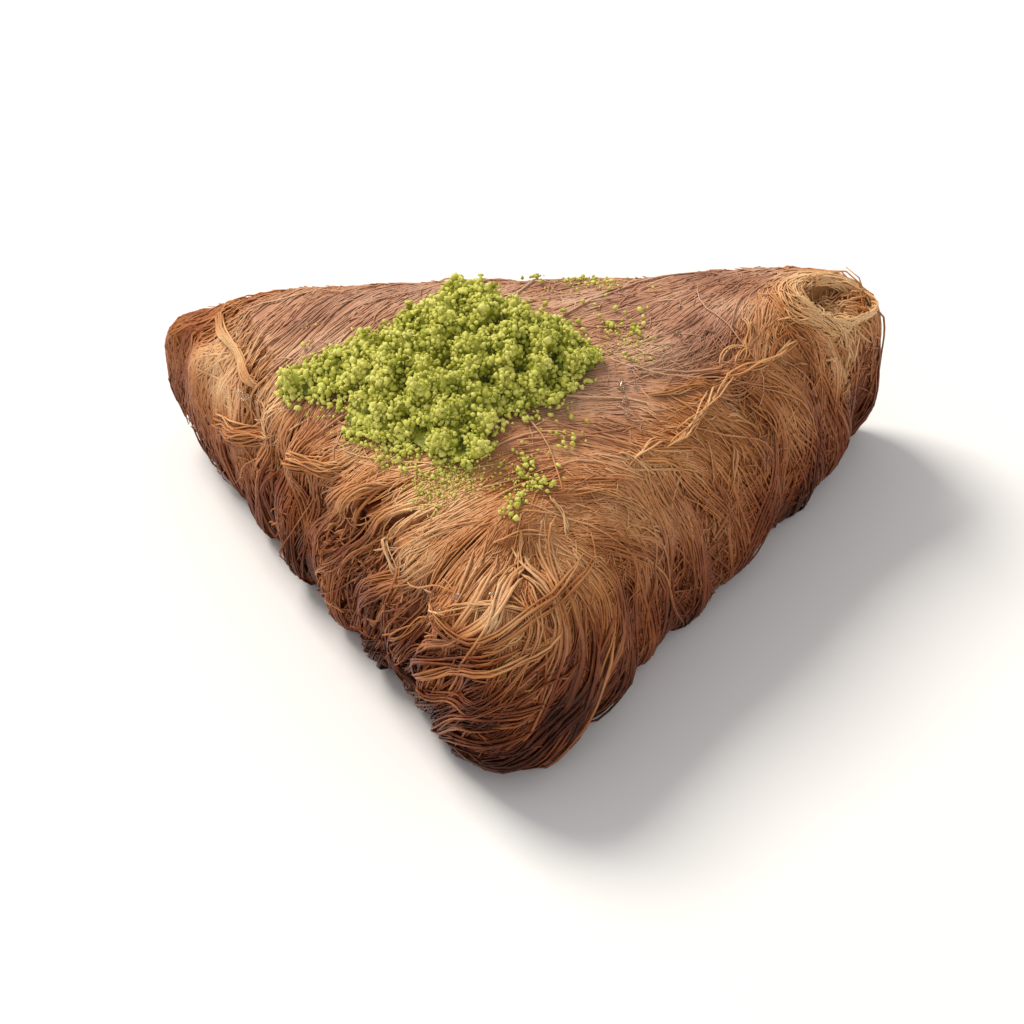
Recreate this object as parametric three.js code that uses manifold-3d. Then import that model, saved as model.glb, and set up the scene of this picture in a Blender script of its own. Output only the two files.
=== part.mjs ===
// A kataifi triangle: one piece of fine shredded pastry, wrapped into a thick, soft-edged triangle
// round a filling, baked, soaked in syrup and topped with a small heap of ground nuts.
//
// Millimetres, +Z up. X runs along the long back edge and Y points away from the front corner.
// The pastry is one solid: a rounded triangle whose reach is worked out for every compass direction,
// with a flat foot, a round flank, a slightly domed top, and relief for what the wrapping leaves:
// bundles of threads, the overlapping flap, the raised rim of the roll, and the crease of the front knob.
// The open end of the roll is a pocket cut into the right corner.
// The nut heap is a second solid that follows the top of the pastry.
import Module from "manifold-3d";
import * as THREE from "three";
import { mergeVertices } from "three/addons/utils/BufferGeometryUtils.js";

// ---- Driving dimensions ----

// Each side of the triangle: the compass direction it faces, and its distance from the middle.
const SIDES = [
  { facing: 93, reach: 25 }, // back
  { facing: 214, reach: 24.6 }, // left
  { facing: 328, reach: 24.8 }, // right
];

// Each corner's direction, how sharply the sides meet in it, how square its shoulder is, and how far
// the top falls from the middle of the piece to it.
const CORNERS = [
  { at: 154, sharpness: 8.5, squareness: 3.5, drop: 7.2 }, // left corner, drawn out to a soft point
  { at: 272, sharpness: 5, squareness: 2.7, drop: 5.5 }, // front corner, round
  { at: 28, sharpness: 5.5, squareness: 4.6, drop: 3.8 }, // right corner, the blunt end of the roll
];
const CORNER_SPREAD = 17; // degrees over which a corner's own shoulder fades into the sides'
const LEAST_SHARE = 0.02; // so that a corner behind still counts a little, and the shares never add up to 0
const TURN_STEP = 0.02; // radians either side of a direction, for the way that the outline faces there

const CROWN = 30.5; // height of the pastry's top at its middle
const WAIST = 12.5; // height at which the pastry is widest
const SIDE_DROP = 5; // how far the top would fall towards a side over the reach of a corner
const CORNER_REACH = 45; // distance from the middle over which the top falls that far
const TOP_SQUARENESS = 2.9; // superellipse exponent of the sides' flank above the waist
const FOOT_SQUARENESS = 3.6; // and below it
const TOP_BLEND = { from: 0.35, to: 0.65 }; // share of the crown's level over which flank becomes top
// Slow unevenness of the top.
const SWELL = { height: 0.5, lengthX: 8.5, phaseX: 0.6, lengthY: 9.5, phaseY: -0.4 };
const FOOT_CUT = 0.77; // share of the lower flank's roundness at which the flat foot cuts it off

const WRAP_DIRECTION = 38; // compass direction in which the threads cross the top
const BUNDLES = [
  { pitch: 9.6, depth: 0.5, sway: 1.8, swayLength: 13, phase: 0.4 },
  { pitch: 6.1, depth: 0.34, sway: 1.1, swayLength: 8, phase: 2.1 },
];
const BUNDLE_LEAN = 9; // height over which the bundles' sway moves on by one radian
const BUNDLE_DEPTH_ON_TOP = 0.6; // share of the bundles' depth that is left on the pressed top
const BUNDLES_START = 5; // height above the foot at which the bundles have their full depth

const FLAP = { from: [-35, 19], to: [-28.5, -3], drop: 1.7, softness: 2.2, ridge: 0.8, onFlank: 0.35 };
const ROLL_END = {
  at: [36.2, 17.2], // middle of the open end of the roll, in the right corner
  turned: 20, // compass direction of the opening's long way
  halfLength: 3.9,
  halfWidth: 2.8,
  depth: 3.6,
  rim: 0.7, // how far the rim round it stands up
  rimRadius: 4.8,
  rimWidth: 2.2,
};
const SEAM = { side: 2, inset: 4.5, height: 0.9, width: 2, from: -8, to: 24, sway: 0.6, swayLength: 4 };
const KNOB = { at: [2, -42], radius: 16, swell: 0.7, crease: 1.5, creaseWidth: 2.2 };
const TUCK = { side: 1, height: 17.5, depth: 1.7, width: 2.4, from: -18, to: 22, sway: 1.5, swayLength: 6 };
const END_FADE = 8; // length over which the seam and the tuck die away at either end

const HEAP_AT = [-7.4, -1]; // middle of the nut heap on the top
const HEAP_RADIUS = 10.6;
const HEAP_HEIGHT = 5.4;
const HEAP_LOBES = [
  { at: 172, reach: 9.4, width: 10 }, // the long arm towards the left corner
  { at: 222, reach: 1.6, width: 22 },
  { at: 281, reach: 4.8, width: 18 }, // the spill towards the front
  { at: 335, reach: 1.5, width: 14 },
  { at: 4, reach: 6.5, width: 29 }, // the broad shoulder towards the right corner
  { at: 80, reach: 3.4, width: 20 }, // the slope towards the back edge
  { at: 134, reach: -1.3, width: 16 },
];
const HEAP_RIPPLES = [
  { waves: 9, depth: 0.45, phase: 0 }, // waves once round the heap's outline
  { waves: 14, depth: 0.35, phase: 50 },
];
const HEAP_PEAKS = [
  { at: [3.5, 5], height: 1, width: 8 }, // measured from the middle of the heap
  { at: [-5, 0], height: 0.66, width: 6 },
  { at: [2, -6], height: 0.62, width: 5.5 },
  { at: [-13.5, 1], height: 0.46, width: 4.5 },
  { at: [11, 1.5], height: 0.6, width: 6 },
];
const HEAP_DIP = 0.68; // how far the heap sinks between its peaks, as a share of its height
const HEAP_EDGE = { flatness: 3, steepness: 0.6 }; // how its height falls off at its outline
const HEAP_LUMPS = [
  { depth: 0.16, lengthX: 1.6, lengthY: 1.4, phase: 0.8 },
  { depth: 0.1, lengthX: 3.1, lengthY: 2.6, phase: 2.2 },
];
const RESTING_GAP = 0.3; // clear space between the pastry and what lies on it

// How finely each solid is divided: round its outline, and from the middle of its top to that of its foot.
const PASTRY_GRID = { spokes: 128, rings: 30, ringsAbove: 20 };
const HEAP_GRID = { spokes: 56, rings: 17, ringsAbove: 11 };
const POCKET_GRID = { spokes: 24, rings: 14 };
const RING_CROWDING = 1.4; // above 1, rings are as wide on the top as on the shoulder

// ---- Small helpers ----

const radians = THREE.MathUtils.degToRad;
const degrees = THREE.MathUtils.radToDeg;
const smoothstep = THREE.MathUtils.smoothstep;

// A bump of height 1 at 0 that fades to nothing over about twice its width.
const bump = (distance, width) => Math.exp(-((distance / width) ** 2));

// Smallest angle between two compass directions, in degrees.
const turn = (a, b) => Math.abs(((((a - b) % 360) + 540) % 360) - 180);

// ---- The pastry ----

// How far the triangle's widest outline lies from the middle in a compass direction.
function outlineReach(heading) {
  let sharpness = 0;
  let weight = 0;
  for (const corner of CORNERS) {
    const share = Math.max(LEAST_SHARE, Math.cos(radians(turn(heading, corner.at)))) ** 3;
    sharpness += corner.sharpness * share;
    weight += share;
  }
  const power = sharpness / weight;
  let sum = 0;
  for (const side of SIDES) {
    const towards = Math.cos(radians(turn(heading, side.facing)));
    if (towards > 0) sum += (towards / side.reach) ** power;
  }
  return sum ** (-1 / power);
}

// A measure that has its own value at each corner and the sides' value in between.
function towardsCorners(heading, measure, onSides) {
  let value = onSides;
  for (const corner of CORNERS) {
    value += (corner[measure] - onSides) * bump(turn(heading, corner.at), CORNER_SPREAD);
  }
  return value;
}

// The way that the outline faces in a compass direction.
function outlineFacing(heading) {
  const [before, after] = [heading - TURN_STEP, heading + TURN_STEP].map((angle) => {
    const reach = outlineReach(degrees(angle));
    return [reach * Math.cos(angle), reach * Math.sin(angle)];
  });
  const x = after[0] - before[0];
  const y = after[1] - before[1];
  return new THREE.Vector3(y, -x, 0).normalize();
}

// Height of the top before the flank rounds it off.
function crownHeight(x, y) {
  const drop = towardsCorners(degrees(Math.atan2(y, x)), "drop", SIDE_DROP);
  const fall = drop * (Math.hypot(x, y) / CORNER_REACH) ** 2;
  const swell = Math.sin(x / SWELL.lengthX + SWELL.phaseX) * Math.cos(y / SWELL.lengthY + SWELL.phaseY);
  return CROWN - fall + SWELL.height * swell;
}

// Bundles of threads: ridges that run in the wrap's direction over the top and straight down the flanks.
function bundleRelief(x, y, z) {
  const across = radians(WRAP_DIRECTION + 90);
  const along = radians(WRAP_DIRECTION);
  const q = x * Math.cos(across) + y * Math.sin(across);
  const s = x * Math.cos(along) + y * Math.sin(along);
  let relief = 0;
  for (const b of BUNDLES) {
    const swayed = q + b.sway * Math.sin(s / b.swayLength + z / BUNDLE_LEAN + b.phase);
    relief += b.depth * Math.sin((2 * Math.PI * swayed) / b.pitch + b.phase);
  }
  return relief;
}

// The flap that laps over the left corner: its edge is a ridge, and beyond it the layer below shows.
function flapRelief(x, y) {
  const [x0, y0] = FLAP.from;
  const [x1, y1] = FLAP.to;
  const length = Math.hypot(x1 - x0, y1 - y0);
  const beyond = ((x1 - x0) * (y - y0) - (y1 - y0) * (x - x0)) / length; // below 0 on the corner's side
  const drop = -FLAP.drop * smoothstep(-beyond, -FLAP.softness, FLAP.softness);
  return drop + FLAP.ridge * bump(beyond - FLAP.softness, FLAP.softness);
}

// The rim round the open end of the roll.
function rimRelief(x, y) {
  const distance = Math.hypot(x - ROLL_END.at[0], y - ROLL_END.at[1]);
  return ROLL_END.rim * bump(distance - ROLL_END.rimRadius, ROLL_END.rimWidth);
}

// Distance from the middle towards a side, and along that side.
function sideCoordinates(side, x, y) {
  const facing = radians(SIDES[side].facing);
  return {
    out: x * Math.cos(facing) + y * Math.sin(facing),
    along: -x * Math.sin(facing) + y * Math.cos(facing),
  };
}

// 1 between two places along a side, falling to 0 past either end.
function stretch(along, from, to) {
  return smoothstep(along, from - END_FADE, from) * (1 - smoothstep(along, to, to + END_FADE));
}

// The twisted edge of the last fold, a low ridge along the right shoulder.
function seamRelief(x, y) {
  const { out, along } = sideCoordinates(SEAM.side, x, y);
  const middle = SIDES[SEAM.side].reach - SEAM.inset + SEAM.sway * Math.sin(along / SEAM.swayLength);
  return SEAM.height * bump(out - middle, SEAM.width) * stretch(along, SEAM.from, SEAM.to);
}

// The round knob of the front corner, and the crease that sets it off from the top.
function knobRelief(x, y) {
  const outside = Math.hypot(x - KNOB.at[0], y - KNOB.at[1]) - KNOB.radius;
  const swell = KNOB.swell * smoothstep(-outside, 0, 2 * KNOB.creaseWidth);
  return swell - KNOB.crease * bump(outside, KNOB.creaseWidth);
}

// The ragged tuck along the left flank, where the last layer ends above the one below.
function tuckRelief(x, y, z) {
  const { out, along } = sideCoordinates(TUCK.side, x, y);
  if (out < 0) return 0;
  const height = TUCK.height + TUCK.sway * Math.sin(along / TUCK.swayLength);
  return -TUCK.depth * bump(z - height, TUCK.width) * stretch(along, TUCK.from, TUCK.to);
}

// Relief of the top. Under the heap the threads are pressed flat.
function topRelief(x, y, z) {
  const folds = flapRelief(x, y) + rimRelief(x, y) + seamRelief(x, y) + knobRelief(x, y);
  return (BUNDLE_DEPTH_ON_TOP * bundleRelief(x, y, z) + folds) * clearOfHeap(x, y);
}

// Relief of the flanks, outwards. It dies away at the foot.
function flankRelief(x, y, z) {
  const relief = bundleRelief(x, y, z) + tuckRelief(x, y, z) + FLAP.onFlank * flapRelief(x, y);
  return relief * smoothstep(z, 0, BUNDLES_START);
}

// Height of the top over a place inside the outline, with the relief that the heap has to follow.
function topHeight(x, y) {
  const heading = degrees(Math.atan2(y, x));
  const squareness = towardsCorners(heading, "squareness", TOP_SQUARENESS);
  const share = Math.min(1, Math.hypot(x, y) / outlineReach(heading));
  const level = (1 - share ** squareness) ** (1 / squareness);
  const z = WAIST + (crownHeight(x, y) - WAIST) * level;
  return z + topRelief(x, y, z);
}

// The pastry's surface at a compass direction: upper runs from 0 in the middle of the top to 1 at the
// waist, and lower from 0 at the waist to 1 at the edge of the foot and past 1 in the foot's middle.
// Its profile is a superellipse. Relief lifts the top straight up and the flank the way that it faces.
function pastryPoint(heading, upper, lower) {
  if (lower > 1) return new THREE.Vector3(0, 0, 0);
  const below = lower > 0;
  const squareness = towardsCorners(degrees(heading), "squareness", TOP_SQUARENESS);
  const power = 2 / (below ? FOOT_SQUARENESS : squareness);
  const level = below ? FOOT_CUT ** (1 / power) * lower : Math.cos((Math.PI / 2) * upper);
  const out = outlineReach(degrees(heading)) * Math.sqrt(1 - level * level) ** power;
  const x = out * Math.cos(heading);
  const y = out * Math.sin(heading);
  const height = below ? -WAIST / FOOT_CUT : crownHeight(x, y) - WAIST;
  const z = WAIST + height * level ** power;
  const onTop = below ? 0 : smoothstep(level, TOP_BLEND.from, TOP_BLEND.to);
  const point = new THREE.Vector3(x, y, z + topRelief(x, y, z) * onTop);
  return point.addScaledVector(outlineFacing(heading), flankRelief(x, y, z) * (1 - onTop));
}

// ---- The nut heap ----

// 0 under the heap, where the threads are pressed flat, rising to 1 a little way outside it.
function clearOfHeap(x, y) {
  const dx = x - HEAP_AT[0];
  const dy = y - HEAP_AT[1];
  const share = Math.hypot(dx, dy) / heapReach(degrees(Math.atan2(dy, dx)));
  return smoothstep(share, 1, 1.4);
}

// How far the heap's uneven outline lies from its middle in a compass direction.
function heapReach(heading) {
  let reach = HEAP_RADIUS;
  for (const { waves, depth, phase } of HEAP_RIPPLES) reach += depth * Math.sin(radians(waves * heading + phase));
  for (const lobe of HEAP_LOBES) reach += lobe.reach * bump(turn(heading, lobe.at), lobe.width);
  return reach;
}

// Height of the heap's underside: clear of the pastry by the resting gap, also where the top slopes.
function underside(x, y) {
  const step = 0.5;
  const riseX = (topHeight(x + step, y) - topHeight(x - step, y)) / (2 * step);
  const riseY = (topHeight(x, y + step) - topHeight(x, y - step)) / (2 * step);
  return topHeight(x, y) + RESTING_GAP * Math.hypot(1, riseX, riseY);
}

// The heap's surface: a lumpy mound over the pastry's top, with an underside that follows the pastry.
function heapPoint(heading, upper, lower) {
  const share = lower > 0 ? Math.max(0, 1 - lower) : upper;
  const out = heapReach(degrees(heading)) * share;
  const dx = out * Math.cos(heading);
  const dy = out * Math.sin(heading);
  const x = HEAP_AT[0] + dx;
  const y = HEAP_AT[1] + dy;
  const floor = underside(x, y);
  if (lower > 0) return new THREE.Vector3(x, y, floor);
  let below = 1;
  for (const peak of HEAP_PEAKS) {
    below *= 1 - peak.height * bump(Math.hypot(dx - peak.at[0], dy - peak.at[1]), peak.width);
  }
  let lumps = 1;
  for (const l of HEAP_LUMPS) lumps += l.depth * Math.sin(x / l.lengthX) * Math.sin(y / l.lengthY + l.phase);
  const edge = (1 - share ** HEAP_EDGE.flatness) ** HEAP_EDGE.steepness;
  return new THREE.Vector3(x, y, floor + HEAP_HEIGHT * edge * (1 - HEAP_DIP * below) * lumps);
}

// ---- Solids ----

// A closed solid whose grid of spokes and rings is put in place by a function of the compass direction,
// the share of the way from the middle of the top to the waist, and the share from there to the foot.
function solidFrom(grid, place) {
  const sphere = new THREE.SphereGeometry(1, grid.spokes, grid.rings).rotateX(Math.PI / 2);
  sphere.deleteAttribute("normal");
  sphere.deleteAttribute("uv");
  const solid = mergeVertices(sphere, 1e-4);
  const corners = solid.getAttribute("position");
  const direction = new THREE.Vector3();
  for (let i = 0; i < corners.count; i++) {
    direction.fromBufferAttribute(corners, i);
    const heading = Math.atan2(direction.y, direction.x);
    const ring = Math.round((Math.acos(THREE.MathUtils.clamp(direction.z, -1, 1)) / Math.PI) * grid.rings);
    const upper = Math.min(1, ring / grid.ringsAbove) ** RING_CROWDING;
    const lower = Math.max(0, ring - grid.ringsAbove) / (grid.rings - grid.ringsAbove - 1);
    const p = place(heading, upper, lower);
    corners.setXYZ(i, p.x, p.y, p.z);
  }
  solid.computeVertexNormals();
  solid.computeBoundingBox();
  return solid;
}

// The same shape with a pocket cut out of it.
function cutPocket(geometry, pocket, wasm) {
  const [body, tool] = [geometry, pocket].map((shape) => {
    const vertProperties = new Float32Array(shape.getAttribute("position").array);
    const triVerts = new Uint32Array(shape.index.array);
    return new wasm.Manifold(new wasm.Mesh({ numProp: 3, vertProperties, triVerts }));
  });
  const { vertProperties, triVerts } = body.subtract(tool).getMesh();
  const cut = new THREE.BufferGeometry();
  cut.setAttribute("position", new THREE.BufferAttribute(vertProperties, 3));
  cut.setIndex(new THREE.BufferAttribute(triVerts, 1));
  cut.computeVertexNormals();
  cut.computeBoundingBox();
  return cut;
}

// The hollow of the roll's open end: an ellipsoid whose middle is at the surface of the right corner.
function rollPocket() {
  const [x, y] = ROLL_END.at;
  const ball = new THREE.SphereGeometry(1, POCKET_GRID.spokes, POCKET_GRID.rings);
  ball.deleteAttribute("normal");
  ball.deleteAttribute("uv");
  ball.scale(ROLL_END.halfLength, ROLL_END.halfWidth, ROLL_END.depth);
  ball.rotateZ(radians(ROLL_END.turned)).translate(x, y, topHeight(x, y));
  return mergeVertices(ball, 1e-4);
}

function namedMesh(name, geometry, color, roughness) {
  const material = new THREE.MeshStandardMaterial({ color, roughness, metalness: 0 });
  const mesh = new THREE.Mesh(geometry, material);
  mesh.name = name;
  return mesh;
}

const wasm = await Module();
wasm.setup();

const wrapped = cutPocket(solidFrom(PASTRY_GRID, pastryPoint), rollPocket(), wasm);
const pastry = namedMesh("pastry", wrapped, "#9a6440", 0.5);
const nutHeap = namedMesh("nut_heap", solidFrom(HEAP_GRID, heapPoint), "#a3a83c", 0.85);

// The origin is at the middle of the pastry's foot.
const middle = pastry.geometry.boundingBox.getCenter(new THREE.Vector3());
const triangle = new THREE.Group();
triangle.name = "kataifi_triangle";
triangle.position.set(-middle.x, -middle.y, 0);
triangle.add(pastry, nutHeap);

export default triangle;
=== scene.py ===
"""A kataifi triangle: fine threads of baked pastry wrapped into a thick soft triangle, glazed with syrup
and topped with a small heap of ground pistachios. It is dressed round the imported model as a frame.

The pastry is a packed core under many thousand separate threads, which are laid over its surface singly
and in bundles: pressed and combed on the top, fanned over the front, wrapped down the flanks, cut short
along the left side, and wound round the open end of the roll. The nuts are a crumbly core under loose
grains, with crumbs and dust that have rolled off. A few drops of syrup stand on the threads.
Places are in millimetres from the frame's origin, the middle of the foot, and turned to metres by MM.
"""
import math

import bpy
import numpy as np
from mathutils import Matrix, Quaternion, Vector
from mathutils.bvhtree import BVHTree


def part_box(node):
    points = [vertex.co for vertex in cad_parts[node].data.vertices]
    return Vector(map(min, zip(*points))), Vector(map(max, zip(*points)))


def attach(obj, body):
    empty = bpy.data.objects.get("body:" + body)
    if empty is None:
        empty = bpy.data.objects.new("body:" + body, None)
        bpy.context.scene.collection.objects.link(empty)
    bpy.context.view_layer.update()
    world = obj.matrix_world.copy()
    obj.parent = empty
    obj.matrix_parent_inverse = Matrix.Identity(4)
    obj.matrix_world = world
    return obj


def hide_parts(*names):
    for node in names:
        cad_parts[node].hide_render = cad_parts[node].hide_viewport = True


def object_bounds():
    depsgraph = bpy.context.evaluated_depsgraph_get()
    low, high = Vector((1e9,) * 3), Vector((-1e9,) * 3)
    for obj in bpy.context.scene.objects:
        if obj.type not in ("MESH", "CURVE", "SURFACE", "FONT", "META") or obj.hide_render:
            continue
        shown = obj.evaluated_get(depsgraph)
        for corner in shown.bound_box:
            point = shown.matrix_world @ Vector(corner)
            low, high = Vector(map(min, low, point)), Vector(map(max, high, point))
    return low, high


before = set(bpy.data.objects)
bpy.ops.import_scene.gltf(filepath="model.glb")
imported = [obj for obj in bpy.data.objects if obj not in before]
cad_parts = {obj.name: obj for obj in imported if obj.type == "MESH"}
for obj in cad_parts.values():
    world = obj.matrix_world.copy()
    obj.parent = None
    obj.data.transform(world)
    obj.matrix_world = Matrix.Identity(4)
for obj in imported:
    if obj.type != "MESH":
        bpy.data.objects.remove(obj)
cad_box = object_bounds()

MM = 0.001
BODY = "root"

# ---- The pastry's places, in millimetres ----

POCKET_AT = (36.2, 23.2)  # middle of the roll's open end, in the right corner
POCKET_SIZE = (3.9, 2.8)  # half its length and half its width
POCKET_TURNED = math.radians(20)
MOUTH_ROOM = 1.2  # the threads of the flanks stay out as far as this share of its size
MOUTH_LOWEST = 20.0
MOUTH_HIGHEST = 27.3  # the threads inside it stay below this
MOUTH_FILL = 1.2  # how high loose threads fill it up
RIM_DIRECTIONS = 48  # number of directions in which the height of its rim is found
RIM_LOWEST = 23.0
RIM_START = 28.0  # a height above the rim, from which that is found
RIM_SHARE = 1.35  # share of the mouth's size at which its rim is highest
SHORTEST_STRETCH = 0.06  # threads of the rim with a shorter stretch than this have a kink, and are left out

FLAP_EDGE = ((-37.2, 26.2), (-34.4, 19.6), (-31.6, 12.6), (-29.6, 8.8))  # edge of the last layer, on the left
FLAP_HEIGHT = 23.0
EAR_FRONT = 9.5  # the felted left corner beyond that edge, the ear, starts here
EAR_LOWEST = 13.0  # the threads of the flanks cover it up to here
EAR_HOLE = (-34.2, 14.6, 19.0)  # a small gap in its felt
EAR_HOLE_RADIUS = 0.9

SLITS = (  # dark gaps between bundles: both ends of each, its half width and its depth
    ((-18.4, -9.8), (-12.6, -9.3), 0.34, 1.6),
    ((-15.0, -12.5), (-9.8, -13.4), 0.46, 2.0),
    ((-12.9, -15.2), (-7.6, -14.2), 0.14, 0.9),
    ((-8.2, -21.6), (-1.6, -16.8), 0.12, 0.9),
    ((-3.3, -23.9), (-1.0, -20.6), 0.16, 0.9),
    ((20.4, 7.2), (24.0, 8.6), 0.40, 1.2),
    ((-30.4, 11.4), (-23.6, 18.0), 0.06, 0.5),
    ((-23.8, 12.2), (-18.4, 20.4), 0.06, 0.5),
)
SLIT_PUSH = 1.2  # how far the threads beside a slit are combed aside, against its half width
SLIT_REACH = 1.7  # how far from a slit the threads are still combed aside

KNOB_AT = (2.0, -36.0)  # middle of the knob at the front corner
KNOB_RADIUS = 13.0

# Strands that show: the places that each passes over, its number of threads, and how pale it is.
STRANDS = (
    (((-20.4, -7.2, 18.6), (-18.7, -7.8, 20.7), (-15.1, -9.0, 24.7), (-12.8, -9.6, 26.6)), 6, 0.16),
    (((-19.0, -9.4, 18.4), (-17.2, -9.7, 20.2), (-14.1, -10.7, 24.0), (-11.4, -11.4, 26.6)), 6, 0.20),
    (((-15.6, -13.2, 20.4), (-14.0, -13.6, 22.0), (-10.1, -14.0, 25.8), (-7.4, -13.6, 27.4)), 6, 0.18),
    (((-13.6, -12.6, 21.6), (-14.6, -11.9, 19.1), (-16.4, -10.6, 17.0), (-18.2, -10.1, 14.4),
      (-20.0, -8.6, 9.1)), 4, 0.16),
    (((-13.9, -13.9, 22.4), (-13.5, -15.1, 21.8), (-12.0, -16.3, 19.4), (-11.1, -17.3, 18.1)), 4, 0.22),
    (((-16.2, -15.8, 9.4), (-14.5, -16.6, 12.1), (-11.5, -17.8, 17.2)), 4, 0.18),
    (((-21.4, -6.6, 7.4), (-18.1, -9.7, 5.0)), 2, 0.20),
    (((-9.7, -19.7, 17.8), (-7.7, -24.6, 20.2), (-4.8, -25.8, 21.4)), 4, 0.30),
    (((-1.6, -19.4, 25.6), (0.5, -18.3, 26.2), (3.2, -17.3, 26.4), (7.5, -16.8, 25.3)), 2, 0.14),
    (((2.4, -16.8, 26.4), (2.1, -18.3, 25.8), (2.0, -21.6, 24.4), (2.2, -23.4, 23.8)), 6, 0.14),
    (((5.0, -12.6, 27.9), (5.8, -13.7, 27.6), (7.0, -15.3, 26.1), (8.1, -17.2, 24.9)), 3, 0.16),
    (((6.3, -12.5, 28.0), (10.7, -10.7, 26.9), (14.5, -10.3, 24.7), (17.7, -9.7, 21.1)), 5, 0.12),
    (((12.4, -5.6, 28.3), (13.8, -6.2, 27.6), (16.0, -6.7, 25.9), (17.7, -6.6, 23.6)), 4, 0.12),
    (((13.4, -8.0, 27.4), (14.9, -5.8, 27.2), (16.5, -3.2, 27.2), (19.2, -2.0, 26.2)), 4, 0.14),
    (((25.2, 3.0, 22.6), (25.2, 1.6, 20.7), (25.0, 0.5, 17.9), (24.5, -0.4, 14.9)), 5, 0.16),
    (((21.8, 0.2, 25.0), (22.5, -0.8, 22.8), (23.4, -1.3, 18.0)), 3, 0.10),
    (((20.3, -3.1, 23.4), (22.0, -2.8, 19.3), (22.7, -2.4, 17.5)), 3, 0.10),
    (((23.2, 2.8, 24.9), (25.4, 4.9, 23.5), (27.2, 5.1, 20.9), (28.0, 4.9, 19.0)), 3, 0.14),
    (((26.4, 8.2, 25.0), (27.9, 7.5, 22.7), (29.8, 8.0, 19.3), (30.5, 7.9, 16.2)), 3, 0.12),
    (((13.8, 3.3, 28.9), (18.0, 4.0, 28.2), (21.2, 6.4, 27.5), (23.8, 7.2, 27.0)), 6, 0.10),
    (((-2.4, -30.5, 19.1), (-0.2, -30.5, 20.3), (2.0, -29.4, 21.4), (3.6, -28.2, 21.8)), 7, 0.24),
    (((0.0, -31.7, 18.6), (2.5, -30.6, 19.7), (5.2, -28.8, 19.9), (6.9, -27.2, 20.1)), 5, 0.16),
    (((8.9, -20.4, 21.9), (7.8, -23.5, 21.7), (6.8, -26.0, 21.1), (6.3, -28.2, 19.3),
      (4.5, -31.1, 16.7)), 9, 0.22),
    (((2.4, -32.8, 15.4), (4.7, -31.1, 16.0), (7.3, -28.6, 14.8), (9.6, -25.8, 14.8)), 4, 0.14),
    (((0.2, -33.2, 14.8), (3.6, -32.1, 14.2), (5.8, -30.2, 12.6)), 5, 0.10),
    (((-0.4, -33.4, 11.6), (3.0, -32.5, 11.7), (5.4, -30.6, 12.3)), 5, 0.12),
    (((-6.8, -26.2, 6.0), (-3.1, -31.8, 11.9), (1.0, -33.2, 12.9)), 4, 0.10),
    (((-2.6, -31.9, 10.0), (-1.0, -32.6, 9.0), (1.6, -33.2, 7.6)), 2, 0.26),
    (((-1.6, -32.6, 13.4), (-0.7, -32.3, 17.1), (0.2, -30.8, 20.0)), 7, 0.06),
    (((-4.6, -29.5, 16.8), (-3.0, -29.6, 19.7), (-1.3, -29.5, 21.2), (-0.6, -28.4, 22.3)), 5, 0.14),
    (((-7.8, -23.4, 17.6), (-5.4, -25.4, 21.5), (-2.0, -26.2, 23.4), (2.4, -26.8, 23.5),
      (6.8, -26.4, 20.9)), 9, 0.10),
    (((-15.0, -15.6, 6.4), (-11.5, -20.4, 13.1), (-9.1, -21.7, 16.6), (-7.4, -23.6, 19.0)), 7, 0.14),
    (((-13.0, -18.2, 6.0), (-10.2, -22.6, 12.9), (-7.8, -24.6, 17.0)), 6, 0.10),
    (((2.6, -32.6, 8.6), (3.4, -32.2, 7.0), (5.0, -30.7, 5.9), (6.7, -28.8, 5.4),
      (7.4, -28.2, 8.0)), 3, 0.12),
    (((28.4, 16.6, 27.6), (31.4, 17.9, 26.6), (34.5, 18.8, 25.4), (38.6, 20.8, 25.6),
      (40.6, 24.6, 25.8)), 5, 0.16),
    (((29.6, 20.2, 27.4), (31.2, 17.6, 26.6), (35.0, 18.2, 25.2), (39.6, 21.2, 25.2)), 4, 0.16),
    (((35.1, 17.1, 21.8), (36.4, 18.5, 20.4)), 2, 0.3),
    (((18.9, 7.6, 28.1), (21.2, 7.3, 27.3), (23.5, 6.7, 27.0)), 5, 0.2),
)
STRAND_POINTS = 15

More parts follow.
